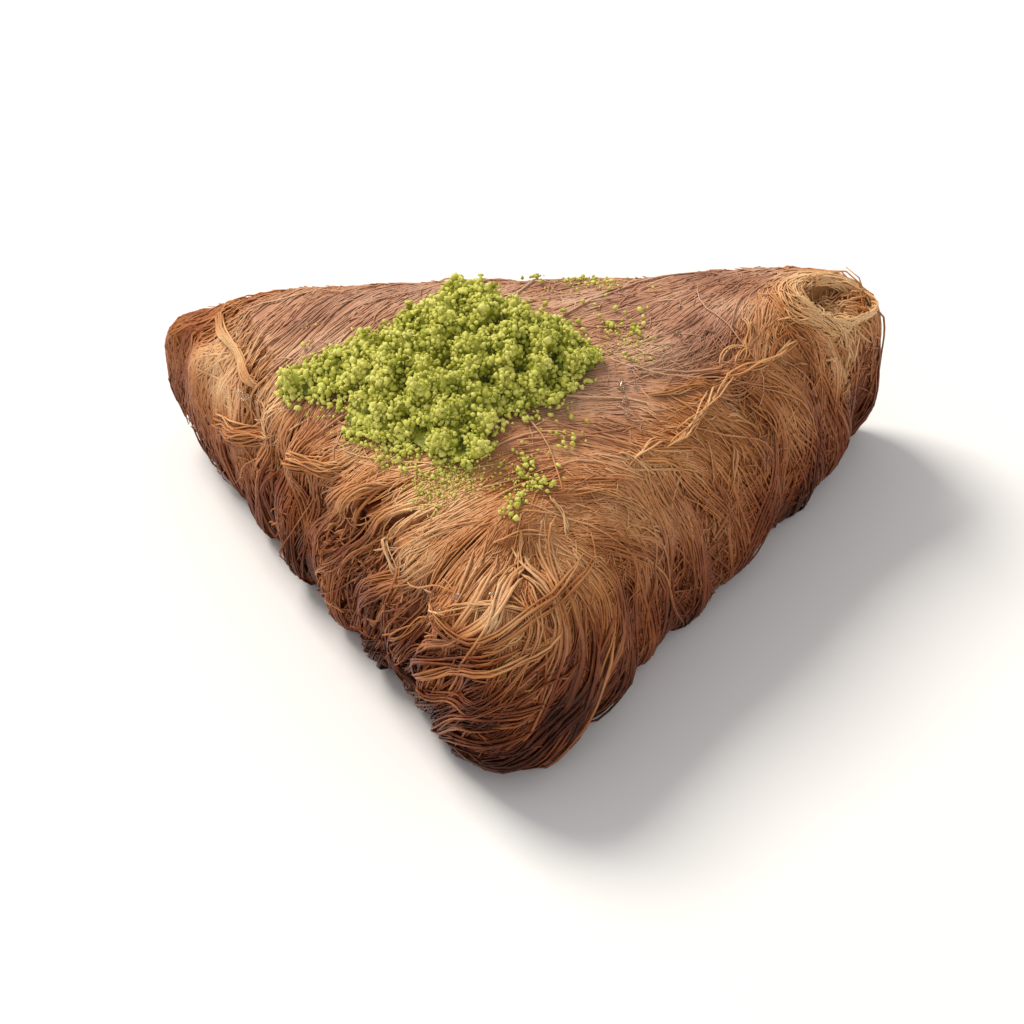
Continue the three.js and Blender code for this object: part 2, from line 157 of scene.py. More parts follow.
# Thicker rolls of threads: the places that each passes over, its threads, half its width, and how pale.
ROLLS = (
    (((-36.4, 16.6, 11.0), (-34.2, 13.9, 12.9), (-31.6, 10.0, 14.8), (-28.8, 7.7, 17.1),
      (-26.2, 4.1, 21.0)), 44, 1.1, 0.10),
    (((-26.6, 1.4, 18.8), (-24.2, -0.8, 21.0), (-21.2, -2.9, 21.9), (-18.4, -4.2, 24.2)), 34, 0.9, 0.06),
    (((-12.0, -16.6, 19.0), (-9.8, -19.2, 20.4), (-6.4, -21.6, 22.6), (-2.6, -23.8, 24.0)), 30, 0.85, 0.02),
    (((17.0, -4.4, 26.6), (19.2, -2.2, 26.2), (21.3, 1.9, 26.1), (22.4, 4.7, 26.7),
      (23.4, 6.9, 27.0)), 7, 0.30, 0.18),
    (((19.0, -1.0, 26.6), (21.7, 2.2, 26.3), (23.8, 7.2, 27.0), (26.2, 9.6, 26.6)), 5, 0.26, 0.22),
    (((22.4, 5.9, 26.9), (25.6, 9.3, 26.7), (28.6, 11.4, 25.6), (31.1, 15.0, 25.5),
      (33.0, 17.6, 25.4)), 7, 0.36, 0.16),
    (((23.6, 6.8, 27.0), (25.2, 11.6, 27.1), (26.3, 12.7, 27.1), (26.9, 16.2, 28.1),
      (27.3, 18.5, 28.6)), 5, 0.30, 0.16),
    (((24.0, 7.0, 26.8), (23.4, 9.8, 27.3), (24.6, 12.6, 27.4), (26.9, 12.4, 27.2),
      (26.2, 9.8, 26.9)), 4, 0.18, 0.24),
)

# Threads are drawn 0.15 to 0.5 mm thick. The finest real ones are thinner, but would not show one by one.
THREAD_RADIUS = 0.18
THREAD_SIDES = 3  # enough for something so thin
STEP = 1.85  # length of one stretch of a thread
PAST_BOX = 0.5  # how far threads may reach past the size of the model
POINTS = 15  # points along a thread

# How the threads lie: at a place on the top, the compass direction that they run in, in degrees.
LIE_OF_THREADS = (
    (-29.5, 14, 44), (-22, 17, 54), (-31, 18, 40), (-12, 22, 46), (0, 24, 42), (9, 18, 40), (16, 22, 38),
    (18, 11, 54), (22, 20, 48), (30, 24, 40), (25, 13, 72), (27, 18, 86), (15, 4, 13), (21, 4, 12),
    (18, -1, 10), (10, -9, 8), (14, -7, 0), (12, -16, 10), (24, 0, -6), (27, 7, -6), (33, 14, -20),
    (40, 16, -30), (4, -13, 24), (2, -20, 86), (-2, -22, 57), (-5, -19, 36), (-10, -14.5, 8),
    (-13, -12.5, -6), (-16, -9, -13), (-20, -5, -10), (-25, 1, 0), (-30, 7, 20), (-22, 5, 30), (-12, -6, 16),
    (-5, -13, 24), (7, -21, 130), (2, -28, 90), (-37, 18, 6), (-36, 13, 4), (-39, 21, 8),
)
LIE_REACH = 3.6  # over how far a place rules the lie of the threads
LEANS = (  # how far threads on the flank lean over, at a place, over a reach, in radians
    ((2.0, -34.0), 12.0, -1.15),
    ((-12.0, -20.0), 7.0, -0.5),
    ((-18.0, -10.0), 8.0, -0.45),
    ((24.0, 1.0), 7.0, 0.25),
)

PALE_AND_SHADED_PLACES = (  # places above the foot whose threads are paler, each over a reach, and by how much; a negative amount makes them darker
    ((-9.0, -15.0), 6.0, 0.27),
    ((-29.0, 7.0), 5.0, 0.26),
    ((-36.5, 15.0), 5.0, 0.43),
    # painted shade on the lower left of the knob
    ((-5.0, -31.0), 4.0, -0.14),
    # painted light in the hollow of the roll's open end, here and on the next line
    ((37.0, 20.0), 8.0, 0.16),
    ((37.5, 19.5), 4.0, 0.10),
    ((2.0, -31.0), 5.0, 0.08),
    ((1.0, -15.0), 5.0, -0.11),
    ((12.0, -12.0), 5.0, 0.04),
    ((-18.0, -9.0), 7.0, 0.05),
)

LUMP_HEIGHT = 0.5  # height of the bulges between the turns of the wrapping
GUIDE_INSET = 0.5  # how far the surface that threads are laid on lies inside the finished one
CORE_INSET = 1.25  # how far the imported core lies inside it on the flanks
PRESSED_CORE_INSET = 0.6  # and on the top, where the threads are pressed into one sheet

# How far up a surface faces, from 1, straight up, to -1.
TOP_FACING = 0.7  # the top faces up more than this
SHOULDER_FACING = 0.93  # a flank with its shoulder less than this
FLANK_FACING = 0.8  # a flank alone less than this
FLANK_LOWEST = -0.4  # and more than this
FOOT_FACING = -0.35  # the foot less than this

UNDER_HEAP = 0.42  # share of the heap's reach under which no threads start

# How many there are of each.
RIM_THREADS = 640
MOUTH_THREADS = 800
CUT_ENDS = 120
LOOSE_THREADS = 120
SHORT_FIBRES = 4600
NUT_GRAINS = 7400
ROLLED_CRUMBS = 420

SPILLED = (  # groups of crumbs off the heap: the middle of each, how wide it is, and its number
    (2.3, -9.4, 1.0, 14), (4.1, -12.2, 1.2, 20), (1.4, -14.4, 1.2, 20), (0.4, -16.9, 0.9, 10),
    (3.0, -11.0, 3.0, 20), (11.0, 11.4, 1.0, 12), (13.9, 11.4, 1.0, 14), (7.4, -6.0, 1.2, 12),
    (9.4, 25.4, 1.5, 22), (2.0, 25.0, 2.5, 14), (-17.0, -1.5, 4.0, 130), (-13.0, -5.5, 3.0, 90),
    (-8.0, -9.5, 3.0, 45), (5.0, -2.0, 3.0, 30), (12.0, 16.0, 4.0, 20),
)
DUST = (  # patches of dust stuck to the syrup below the heap, with the same values
    (-18.5, -0.5, 3.2, 330), (-13.0, -6.0, 3.4, 420), (-5.5, -10.5, 3.2, 300), (1.8, -11.6, 2.6, 160),
    (-9.0, -13.0, 3.0, 140), (-23.5, 5.0, 2.0, 120), (13.0, 9.0, 3.5, 90), (8.0, 24.0, 4.0, 110),
)
ABOVE_THE_TOP = 30.0  # a height from which crumbs find their place on the top
DROPS = (  # drops of syrup: place, half the length and width, and the compass direction of the long way
    ((12.6, 3.6, 29.3), 0.7, 0.3, 95), ((13.0, 1.4, 29.0), 0.6, 0.28, 80),
    ((13.4, -0.6, 28.8), 0.4, 0.25, 95), ((-31.1, 11.6, 19.9), 0.7, 0.45, 120),
    ((-30.4, 10.3, 20.4), 0.45, 0.3, 60), ((-29.4, 12.2, 21.6), 0.35, 0.3, 0),
    ((-4.8, -24.4, 22.8), 0.5, 0.3, 30), ((-6.5, -24.9, 21.0), 0.4, 0.25, 50),
    ((-0.7, -25.2, 24.2), 0.4, 0.3, 0), ((10.2, 13.0, 30.2), 0.4, 0.25, 40),
    ((18.5, 12.0, 29.6), 0.35, 0.25, 50), ((-24.0, 16.0, 27.0), 0.4, 0.22, 45),
)
DROP_SPREAD = 1.3  # how much wider drops have run than that
DROP_HEIGHT = 0.32
DROP_LIFT = 0.22

random = np.random.default_rng(38)

# ---- Small helpers ----


def linear(hex_colour):
    """An sRGB hex colour as linear red, green, blue and alpha."""
    parts = [int(hex_colour[i : i + 2], 16) / 255 for i in (1, 3, 5)]
    return [c / 12.92 if c <= 0.04045 else ((c + 0.055) / 1.055) ** 2.4 for c in parts] + [1.0]


def unit(vectors):
    """Vectors at length 1."""
    return vectors / np.maximum(np.linalg.norm(vectors, axis=-1, keepdims=True), 1e-9)


def smoothstep(value, low, high):
    t = np.clip((value - low) / (high - low), 0, 1)
    return t * t * (3 - 2 * t)


def waves(points, length, seed):
    """Smooth unevenness between about -1 and 1, whose hills lie about a length apart, at places in mm."""
    picker = np.random.default_rng(seed)
    total = np.zeros(points.shape[:-1])
    for _ in range(5):
        way = unit(picker.normal(size=3))
        often = 2 * math.pi / (length * picker.uniform(0.7, 1.5))
        total += np.sin(points @ way * often + picker.uniform(0, 7))
    return total / 2.4


def swings(travel, slowest, fastest, count):
    """A sine along each line at a pace and a start of its own."""
    phase = travel * random.uniform(slowest, fastest, count)[:, None]
    return np.sin(phase + random.uniform(0, 7, count)[:, None])


def nearness(places, spot, reach):
    """How near places are to a spot, seen from above: 1 there, and falling off softly over the reach."""
    return np.exp(-((places[..., 0] - spot[0]) ** 2 + (places[..., 1] - spot[1]) ** 2) / reach**2)


def deselect():
    if bpy.context.mode != "OBJECT":
        bpy.ops.object.mode_set(mode="OBJECT")
    bpy.ops.object.select_all(action="DESELECT")


def take(piece):
    """Makes a piece the only selected object, and the active one."""
    deselect()
    piece.select_set(True)
    bpy.context.view_layer.objects.active = piece


def merged_copy(node, name):
    """A copy of a CAD node as a new object, with its loose triangles joined at their corners."""
    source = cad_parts[node]
    piece = bpy.data.objects.new(name, source.data.copy())
    bpy.context.scene.collection.objects.link(piece)
    piece.data.materials.clear()
    take(piece)
    bpy.ops.object.mode_set(mode="EDIT")
    bpy.ops.mesh.select_all(action="SELECT")
    bpy.ops.mesh.remove_doubles(threshold=1e-6)
    bpy.ops.object.mode_set(mode="OBJECT")
    return piece


def modified(piece, kind, **settings):
    """Adds a modifier to a piece and applies it."""
    take(piece)
    modifier = piece.modifiers.new(kind, kind)
    for key, value in settings.items():
        setattr(modifier, key, value)
    bpy.ops.object.modifier_apply(modifier=modifier.name)


def soft_copy(node, name, fineness, smoothings):
    """A closed copy of a CAD node with small even faces, its facets smoothed away."""
    piece = merged_copy(node, name)
    modified(piece, "REMESH", mode="VOXEL", voxel_size=fineness * MM)
    modified(piece, "SMOOTH", factor=0.5, iterations=smoothings)
    return piece


def corners_of(piece):
    """The places of a mesh's vertices, in mm."""
    places = np.empty(len(piece.data.vertices) * 3)
    piece.data.vertices.foreach_get("co", places)
    return places.reshape(-1, 3) / MM


def facing_of(piece):
    """The way that each vertex of a mesh faces."""
    ways = np.empty(len(piece.data.vertices) * 3)
    piece.data.vertices.foreach_get("normal", ways)
    return ways.reshape(-1, 3)


def set_corners(piece, places):
    piece.data.vertices.foreach_set("co", (places * MM).ravel())
    piece.data.update()


def smooth(piece):
    piece.data.polygons.foreach_set("use_smooth", [True] * len(piece.data.polygons))


def carry(piece, key, values):
    """Stores a value at each vertex of a piece, for its material to read."""
    piece.data.attributes.new(key, "FLOAT", "POINT").data.foreach_set("value", np.ravel(values))


def mesh_from(name, places, faces, attributes, rounded=True):
    """A new object from vertex places in mm, a list of face arrays, and values at the vertices."""
    mesh = bpy.data.meshes.new(name)
    mesh.vertices.add(len(places))
    mesh.vertices.foreach_set("co", (places * MM).ravel())
    sizes = np.concatenate([np.full(len(f), f.shape[1]) for f in faces])
    order = np.concatenate([f.ravel() for f in faces])
    mesh.loops.add(len(order))
    mesh.loops.foreach_set("vertex_index", order)
    mesh.polygons.add(len(sizes))
    mesh.polygons.foreach_set("loop_start", np.concatenate([[0], np.cumsum(sizes)[:-1]]))
    mesh.polygons.foreach_set("loop_total", sizes)
    mesh.update(calc_edges=True)
    piece = bpy.data.objects.new(name, mesh)
    bpy.context.scene.collection.objects.link(piece)
    for key, values in attributes.items():
        carry(piece, key, values)
    if rounded:
        smooth(piece)
    return piece


# ---- The guide: a smooth copy of the pastry that the threads are laid on ----


def pocket_share(places):
    """How far out from the middle of the roll's open end places are: 1 at its rim."""
    x = places[..., 0] - POCKET_AT[0]
    y = places[..., 1] - POCKET_AT[1]
    a = x * math.cos(POCKET_TURNED) + y * math.sin(POCKET_TURNED)
    b = -x * math.sin(POCKET_TURNED) + y * math.cos(POCKET_TURNED)
    return np.hypot(a / POCKET_SIZE[0], b / POCKET_SIZE[1])


def mouth_fill(places):
    """How high the loose threads inside the roll's open end fill it up, in mm along each axis."""
    inside = (1 - smoothstep(pocket_share(places), 0.45, 1.05)) * (places[:, 2] > 15)
    return np.outer(MOUTH_FILL * inside, (0, 0, 1))


def soft_lumps(places, facing):
    """The soft unevenness of the flanks and shoulders, in mm: bulges between the turns of the wrapping."""
    sloping = 1 - smoothstep(facing[:, 2], 0.55, 0.95)
    return LUMP_HEIGHT * waves(places * (1, 1, 0.45), 6.5, 3) * sloping


guide = soft_copy("pastry", "guide", 0.6, 3)
take(guide)
guide_corners, guide_facing = corners_of(guide), facing_of(guide)
swelling = soft_lumps(guide_corners, guide_facing) - GUIDE_INSET
set_corners(guide, guide_corners + guide_facing * swelling[:, None] + mouth_fill(guide_corners))
guide.data.calc_loop_triangles()
guide_corners = corners_of(guide)
guide_faces = np.empty(len(guide.data.loop_triangles) * 3, int)
guide.data.loop_triangles.foreach_get("vertices", guide_faces)
guide_faces = guide_faces.reshape(-1, 3)
guide_facing = facing_of(guide)
guide_tree = BVHTree.FromPolygons([Vector(c) for c in guide_corners], guide_faces.tolist())


def on_guide(places):
    """The nearest places on the guide, and the way that it faces there."""
    found = [guide_tree.find_nearest(p) for p in places.tolist()]
    spots = np.array([f[0][:] for f in found])
    corner_ids = guide_faces[[f[2] for f in found]]
    away = np.linalg.norm(guide_corners[corner_ids] - spots[:, None], axis=2) + 0.05
    facing = unit((guide_facing[corner_ids] / away[..., None]).sum(1))
    return spots, facing


def pick_places(count, wanted):
    """Random places on the guide where the function wanted(places, facing) says so."""
    corners = guide_corners[guide_faces]
    areas = np.linalg.norm(np.cross(corners[:, 1] - corners[:, 0], corners[:, 2] - corners[:, 0]), axis=1)
    chosen_places, chosen_facing, have = [], [], 0
    while have < count:
        ids = random.choice(len(areas), size=4 * count, p=areas / areas.sum())
        u, v = random.random((2, len(ids)))
        u, v = np.where(u + v > 1, 1 - u, u), np.where(u + v > 1, 1 - v, v)
        a, b, c = corners[ids, 0], corners[ids, 1], corners[ids, 2]
        places = a + u[:, None] * (b - a) + v[:, None] * (c - a)
        facing = unit(guide_facing[guide_faces[ids]].mean(1))
        keep = wanted(places, facing)
        chosen_places.append(places[keep])
        chosen_facing.append(facing[keep])
        have += keep.sum()
    return np.concatenate(chosen_places)[:count], np.concatenate(chosen_facing)[:count]


def pick_apart(count, wanted):
    """Places like pick_places gives, but spread out evenly: each is the farthest of several tries."""
    places, facing = pick_places(count * 6, wanted)
    order, nearest = [0], np.linalg.norm(places - places[0], axis=1)
    while len(order) < count:
        order.append(int(np.argmax(nearest * random.uniform(0.8, 1.0, len(nearest)))))
        nearest = np.minimum(nearest, np.linalg.norm(places - places[order[-1]], axis=1))
    return places[order], facing[order]


# ---- How threads run ----

LIE_PLACES = np.array([(x, y) for x, y, _ in LIE_OF_THREADS], float)
LIE_ANGLES = np.radians([a for _, _, a in LIE_OF_THREADS])


def run_of_threads(places, facing, unrest):
    """The way that threads run at places on the surface, and how surely they do.

    On the top it is the compass direction given for the place. Over a shoulder it turns down the flank.
    """
    away = np.linalg.norm(places[:, None, :2] - LIE_PLACES, axis=2)
    weight = 1 / (away**2 + LIE_REACH**2) ** 2
    doubled = np.arctan2((weight * np.sin(2 * LIE_ANGLES)).sum(1), (weight * np.cos(2 * LIE_ANGLES)).sum(1))
    angle = doubled / 2
    across = np.stack([-np.sin(angle), np.cos(angle), np.zeros_like(angle)], axis=1)
    run = np.cross(facing, across)
    sureness = np.linalg.norm(run, axis=1)
    run = unit(run)
    bend = unrest + 0.14 * waves(places, 17, 5) + 0.11 * waves(places, 6, 6)
    on_flank = 1 - smoothstep(facing[:, 2], 0.3, 0.75)
    for place, reach, lean in LEANS:
        bend = bend + lean * nearness(places, place, reach) * on_flank
    side = np.cross(facing, run)
    return run * np.cos(bend)[:, None] + side * np.sin(bend)[:, None], sureness


def walk(places, facing, way, steps, unrest, wiggle):
    """Follows the run of the threads over the surface from each place, a step at a time."""
    track, faces_track = [], []
    count = len(places)
    phase = random.uniform(0, 2 * math.pi, count)
    pace = random.uniform(0.25, 0.6, count)
    for step in range(steps):
        places, facing = on_guide(places + way * STEP)
        swing = unrest + wiggle * np.sin(phase + pace * step)
        run, sureness = run_of_threads(places, facing, swing)
        run *= np.sign((run * way).sum(1) + 1e-9)[:, None]
        pull = np.clip(sureness**2 * 0.7, 0.03, 0.6)[:, None]
        way = way * (1 - pull) + run * pull
        way = unit(way - facing * (way * facing).sum(1)[:, None])
        track.append(places)
        faces_track.append(facing)
    return track, faces_track


def lay_lines(places, facing, points, unrest, wiggle):
    """Lines through the places that run as the threads do: their points and the way they face."""
    way, _ = run_of_threads(places, facing, unrest)
    before = (points - 1) // 2
    back, back_facing = walk(places, facing, -way, before, unrest, wiggle)
    ahead, ahead_facing = walk(places, facing, way, points - 1 - before, unrest, wiggle)
    lines = np.stack(back[::-1] + [places] + ahead, axis=1)
    ups = np.stack(back_facing[::-1] + [facing] + ahead_facing, axis=1)
    return lines, ups


def along(lines):
    """The way that each line runs at each of its points."""
    return unit(np.gradient(lines, axis=1))


def resampled(lines, first, last, points):
    """Each line's stretch from share first to share last of its length, at a number of points."""
    count = lines.shape[1] - 1
    spots = (first[:, None] + (last - first)[:, None] * np.linspace(0, 1, points)) * count
    low = np.clip(np.floor(spots).astype(int), 0, count - 1)
    part = (spots - low)[..., None]
    rows = np.arange(len(lines))[:, None]
    return lines[rows, low] * (1 - part) + lines[rows, low + 1] * part


def bundled(lines, ups, threads, width, thickness, twist, splay, points=POINTS):
    """Threads that follow each line side by side and on each other, as a loosely twisted bundle."""
    guide_ids = np.repeat(np.arange(len(lines)), threads)
    count = len(guide_ids)
    first = random.uniform(0.0, 0.22, count)
    last = random.uniform(0.78, 1.0, count)
    line = resampled(lines[guide_ids], first, last, points)
    up = unit(resampled(ups[guide_ids], first, last, points))
    run = along(line)
    side = np.cross(up, run)
    wide = width[guide_ids]
    across = random.normal(0, 0.5, count).clip(-1.15, 1.15) * wide
    room = np.sqrt(np.clip(1 - (across / (1.3 * wide)) ** 2, 0, 1))
    lift = room * thickness * random.uniform(-0.6, 1.0, count)
    travel = np.linspace(-1, 1, points)
    turn = random.uniform(-twist, twist, len(lines))[guide_ids][:, None] * travel
    spread = 1 + splay * travel**2 * random.uniform(0.2, 1.0, count)[:, None]
    sway = 0.22 * swings(travel, 2, 6, count)
    sideways = (across[:, None] * np.cos(turn) - lift[:, None] * np.sin(turn)) * spread + sway
    upwards = across[:, None] * np.sin(turn) * 0.45 + lift[:, None] * np.cos(turn)
    return line + side * sideways[..., None] + up * upwards[..., None], up, guide_ids


def tucked(line, up, base, dip, share=0.14):
    """Lines lifted to a height above the surface, with both ends dipping into it."""
    travel = np.linspace(0, 1, line.shape[1])
    end = 1 - smoothstep(np.minimum(travel, 1 - travel), 0, share)
    height = np.reshape(base, (-1, 1)) - end * np.reshape(dip, (-1, 1))
    return line + up * height[..., None]


# ---- Thread geometry ----


def swept(line, up, radius, sides, flat=1.0):
    """Vertex places and faces of closed tubes along lines."""
    count, points, _ = line.shape
    run = along(line)
    side = unit(np.cross(up, run))
    top = np.cross(run, side)
    angle = np.arange(sides) * 2 * math.pi / sides
    out = side[:, :, None] * np.cos(angle)[:, None] + top[:, :, None] * (flat * np.sin(angle))[:, None]
    places = line[:, :, None] + out * radius[:, :, None, None]
    start = (np.arange(count) * points * sides)[:, None, None]
    ring = (np.arange(points - 1) * sides)[None, :, None]
    here, following = np.arange(sides), (np.arange(sides) + 1) % sides
    near, far = start + ring, start + ring + sides
    quads = np.stack([near + here, near + following, far + following, far + here], axis=-1).reshape(-1, 4)
    first_cap = (start[:, :, 0] + here[::-1]).reshape(-1, sides)
    last_cap = (start[:, :, 0] + (points - 1) * sides + here).reshape(-1, sides)
    return places.reshape(-1, 3), [quads, first_cap, last_cap]


BOX_LOW, BOX_HIGH = np.array(cad_box[0]) / MM - PAST_BOX, np.array(cad_box[1]) / MM + PAST_BOX


def held_in(line, radius):
    """Lines kept above the surface that the pastry stands on, and close to the size of the model."""
    low = np.array([BOX_LOW[0], BOX_LOW[1], 0.0]) + radius
    return np.clip(line, low, BOX_HIGH - radius)


def beyond_flap(places):
    """How far places lie beyond the flap's edge, towards the left corner."""
    edge_y = [y for _, y in FLAP_EDGE[::-1]]
    edge_x = [x for x, _ in FLAP_EDGE[::-1]]
    return np.interp(places[..., 1], edge_y, edge_x) - places[..., 0]


def on_ear_side(places):
    """Whether places lie beyond the flap's edge, with a ragged line below the edge itself."""
    ragged = 0.9 * waves(places, 4.5, 81)
    beyond = beyond_flap(places) + ragged * (places[..., 2] < 20) > 0.2
    return beyond & (places[..., 1] + ragged > EAR_FRONT)


def clear(line):
    """Which threads stay out of the roll's open end and off the left ear."""
    in_mouth = (pocket_share(line) < MOUTH_ROOM) & (line[..., 2] > MOUTH_LOWEST)
    over_ear = on_ear_side(line) & (line[..., 2] > EAR_LOWEST)
    return ~(in_mouth | over_ear).any(1)


def beside_slit(places, slit):
    """How far places lie aside of a slit, and how wide it is open there."""
    (x0, y0), (x1, y1), half_width, _ = slit
    length = math.hypot(x1 - x0, y1 - y0)
    along_x, along_y = (x1 - x0) / length, (y1 - y0) / length
    x, y = places[..., 0] - x0, places[..., 1] - y0
    share = (x * along_x + y * along_y) / length
    aside = y * along_x - x * along_y
    open_here = np.sqrt(np.clip(4 * share * (1 - share), 0, 1)) * smoothstep(places[..., 2], 15, 19)
    return aside, half_width * open_here


def slit_depth(places, softness):
    """How deep the slits cut in at places, in mm, fading out over their width and a softness."""
    depth = np.zeros(len(places))
    for slit in SLITS:
        aside, wide = beside_slit(places, slit)
        depth += slit[3] * wide / slit[2] * np.exp(-((aside / (softness + wide)) ** 2))
    return depth


def parted(line, up):
    """Threads combed aside where there is a slit, with lips that stand up a little, and which to keep."""
    keep = np.full(len(line), True)
    line = line.copy()
    for slit in SLITS:
        aside, wide = beside_slit(line, slit)
        near = np.clip(1 - np.abs(aside) / SLIT_REACH, 0, 1)
        push = np.sign(aside) * wide * near * SLIT_PUSH
        (x0, y0), (x1, y1), half_width, _ = slit
        length = math.hypot(x1 - x0, y1 - y0)
        line[..., 0] -= push * (y1 - y0) / length
        line[..., 1] += push * (x1 - x0) / length
        lip = 0.45 * wide * np.exp(-(((np.abs(aside) - 0.5) / 0.6) ** 2))
        line += up * lip[..., None]
        crossing = (np.sign(aside[:, 1:]) != np.sign(aside[:, :-1])) & (np.abs(aside[:, 1:]) < 2)
        keep &= ~(crossing & (wide[:, 1:] > 0.3 * half_width)).any(1)
    hole = np.linalg.norm(line - EAR_HOLE, axis=-1)
    keep &= (hole > EAR_HOLE_RADIUS).all(1)
    return line, keep


def tone_of(line, extra):
    """How light each point of a thread is, from 0, nearly black-brown, to 1, pale gold: its bake, with
    painted shade.

    The top is lightest. The flanks darken towards the foot, partly where the syrup stands longest and partly
    as painted shade.
    The knob low at the front corner and the right shoulder are darker with painted shade.
    """
    x, y, z = line[..., 0], line[..., 1], line[..., 2]
    height = 0.45 * smoothstep(z, 1, 17) + 0.55 * smoothstep(z, 14, 26)
    shoulder = smoothstep(x - 0.3 * y, 10, 18) * smoothstep(z, 15, 24) * (1 - smoothstep(y, 14, 20))
    on_knob = nearness(line, KNOB_AT, KNOB_RADIUS) * (1 - smoothstep(z, 16, 24))
    # painted shade: the shoulder and knob terms, and part of the height term towards the foot
    tone = 0.13 + 0.49 * height - 0.05 * shoulder - 0.17 * on_knob
    tone = tone + 0.08 * waves(line, 9, 11) + 0.05 * waves(line, 28, 12)
    for place, reach, paleness_and_shade in PALE_AND_SHADED_PLACES:
        tone = tone + paleness_and_shade * nearness(line, place, reach) * smoothstep(z, 10, 19)
    return np.clip(tone + extra, 0.02, 1)


def warmth_of(line, extra):
    """How orange each point of a thread is, from 0, mauve-brown, to 1, golden to red-brown.

    The pressed top is mauve-brown behind and beside the heap, and warmer to the front and on the flanks.
    """
    x, y, z = line[..., 0], line[..., 1], line[..., 2]
    pressed = smoothstep(z, 22.5, 27) * smoothstep(y + 0.1 * x, -14, 6) * smoothstep(x, -37, -32)
    pressed *= 1 - smoothstep(0.85 * x - 0.53 * y, 10, 17)
    warmth = 0.95 - 0.75 * pressed + 0.12 * waves(line, 13, 21)
    return np.clip(warmth + extra, 0, 1)


def thread_piece(name, line, up, thickness=1.0, tone=0.0, warmth=0.0, flat=1.0, spread=0.06):
    """One object of many threads, joined from arrays, with the tone and warmth of each."""
    line, keep = parted(line, up)
    line, up = line[keep], up[keep]
    tone = np.broadcast_to(tone, keep.shape)[keep]
    count, points, _ = line.shape
    size = THREAD_RADIUS * thickness * random.uniform(0.75, 1.2, count)[:, None]
    travel = np.linspace(0, 1, points)
    ends = 0.5 + 0.5 * smoothstep(np.minimum(travel, 1 - travel), 0, 0.14)
    radius = size * ends * (1 + 0.10 * swings(travel, 8, 24, count))
    line = held_in(line, radius[..., None])
    places, faces = swept(line, up, radius, THREAD_SIDES, flat)
    tones = tone_of(line, (tone + random.normal(0, spread, count))[:, None])
    warmths = warmth_of(line, (warmth + random.normal(0, 0.10, count))[:, None])
    values = {"tone": np.repeat(tones, THREAD_SIDES), "warmth": np.repeat(warmths, THREAD_SIDES)}
    piece = mesh_from(name, places, faces, values)
    piece.data.materials.append(threads_material)
    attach(piece, BODY)
    return piece


# ---- Materials ----


def put(material, kind, settings=None, **inputs):
    """Adds a node with its settings. An input is a value, or another node's output to link to it."""
    tree = material.node_tree
    node = tree.nodes.new(kind)
    for key, value in (settings or {}).items():
        setattr(node, key, value)
    for key, value in inputs.items():
        socket = node.inputs[int(key[1:]) if key[0] == "_" else key.replace("_", " ")]
        if isinstance(value, bpy.types.NodeSocket):
            tree.links.new(value, socket)
        else:
            socket.default_value = value
    return node


def new_material(name, **shader):
    """An empty material with one Principled shader, whose constants are set on its own sockets."""
    material = bpy.data.materials.new(name)
    material.use_nodes = True
    material.node_tree.nodes.clear()
    surface = put(material, "ShaderNodeBsdfPrincipled", None, **shader)
    put(material, "ShaderNodeOutputMaterial", None, Surface=surface.outputs["BSDF"])
    return material, surface


def ramp(material, value, stops):
    """A colour ramp from (place, hex colour) stops."""
    node = put(material, "ShaderNodeValToRGB", None, Fac=value)
    while len(node.color_ramp.elements) < len(stops):
        node.color_ramp.elements.new(0.5)
    for element, (place, colour) in zip(node.color_ramp.elements, stops):
        element.position = place
        element.color = linear(colour)
    return node.outputs["Color"]


def blended(material, share, first, second):
    """Two colours mixed."""
    node = put(material, "ShaderNodeMix", {"data_type": "RGBA"}, _0=share)
    material.node_tree.links.new(first, node.inputs[6])
    material.node_tree.links.new(second, node.inputs[7])
    return node.outputs[2]


def sized_noise(material, size_mm, detail=3.0, roughness=0.55):
    """Noise whose blotches are about a size in millimetres, fixed to the piece."""
    place = put(material, "ShaderNodeTexCoord").outputs["Object"]
    noise = put(
        material, "ShaderNodeTexNoise", None,
        Vector=place, Scale=1 / (size_mm * MM), Detail=detail, Roughness=roughness,
    )
    return noise.outputs["Fac"]


def link(material, output, node, socket):
    material.node_tree.links.new(output, node.inputs[socket])


# Kataifi threads, baked crisp and soaked in syrup: satin, with a thin sticky coat that shines a little.
# Each thread has its own bake, from mauve-brown where it was pressed to gold and red-brown elsewhere.
# The scorched blotches along a thread are about 1.7 mm long. Its fine grain is drawn 0.35 mm apart, which
# is coarser than the real one, so that it shows.
threads_material, threads_shader = new_material(
    "baked_kataifi_threads_in_syrup",
    Roughness=0.5, IOR=1.45, Specular_IOR_Level=0.3, Coat_Weight=0.08, Coat_Roughness=0.25, Coat_IOR=1.45,
)
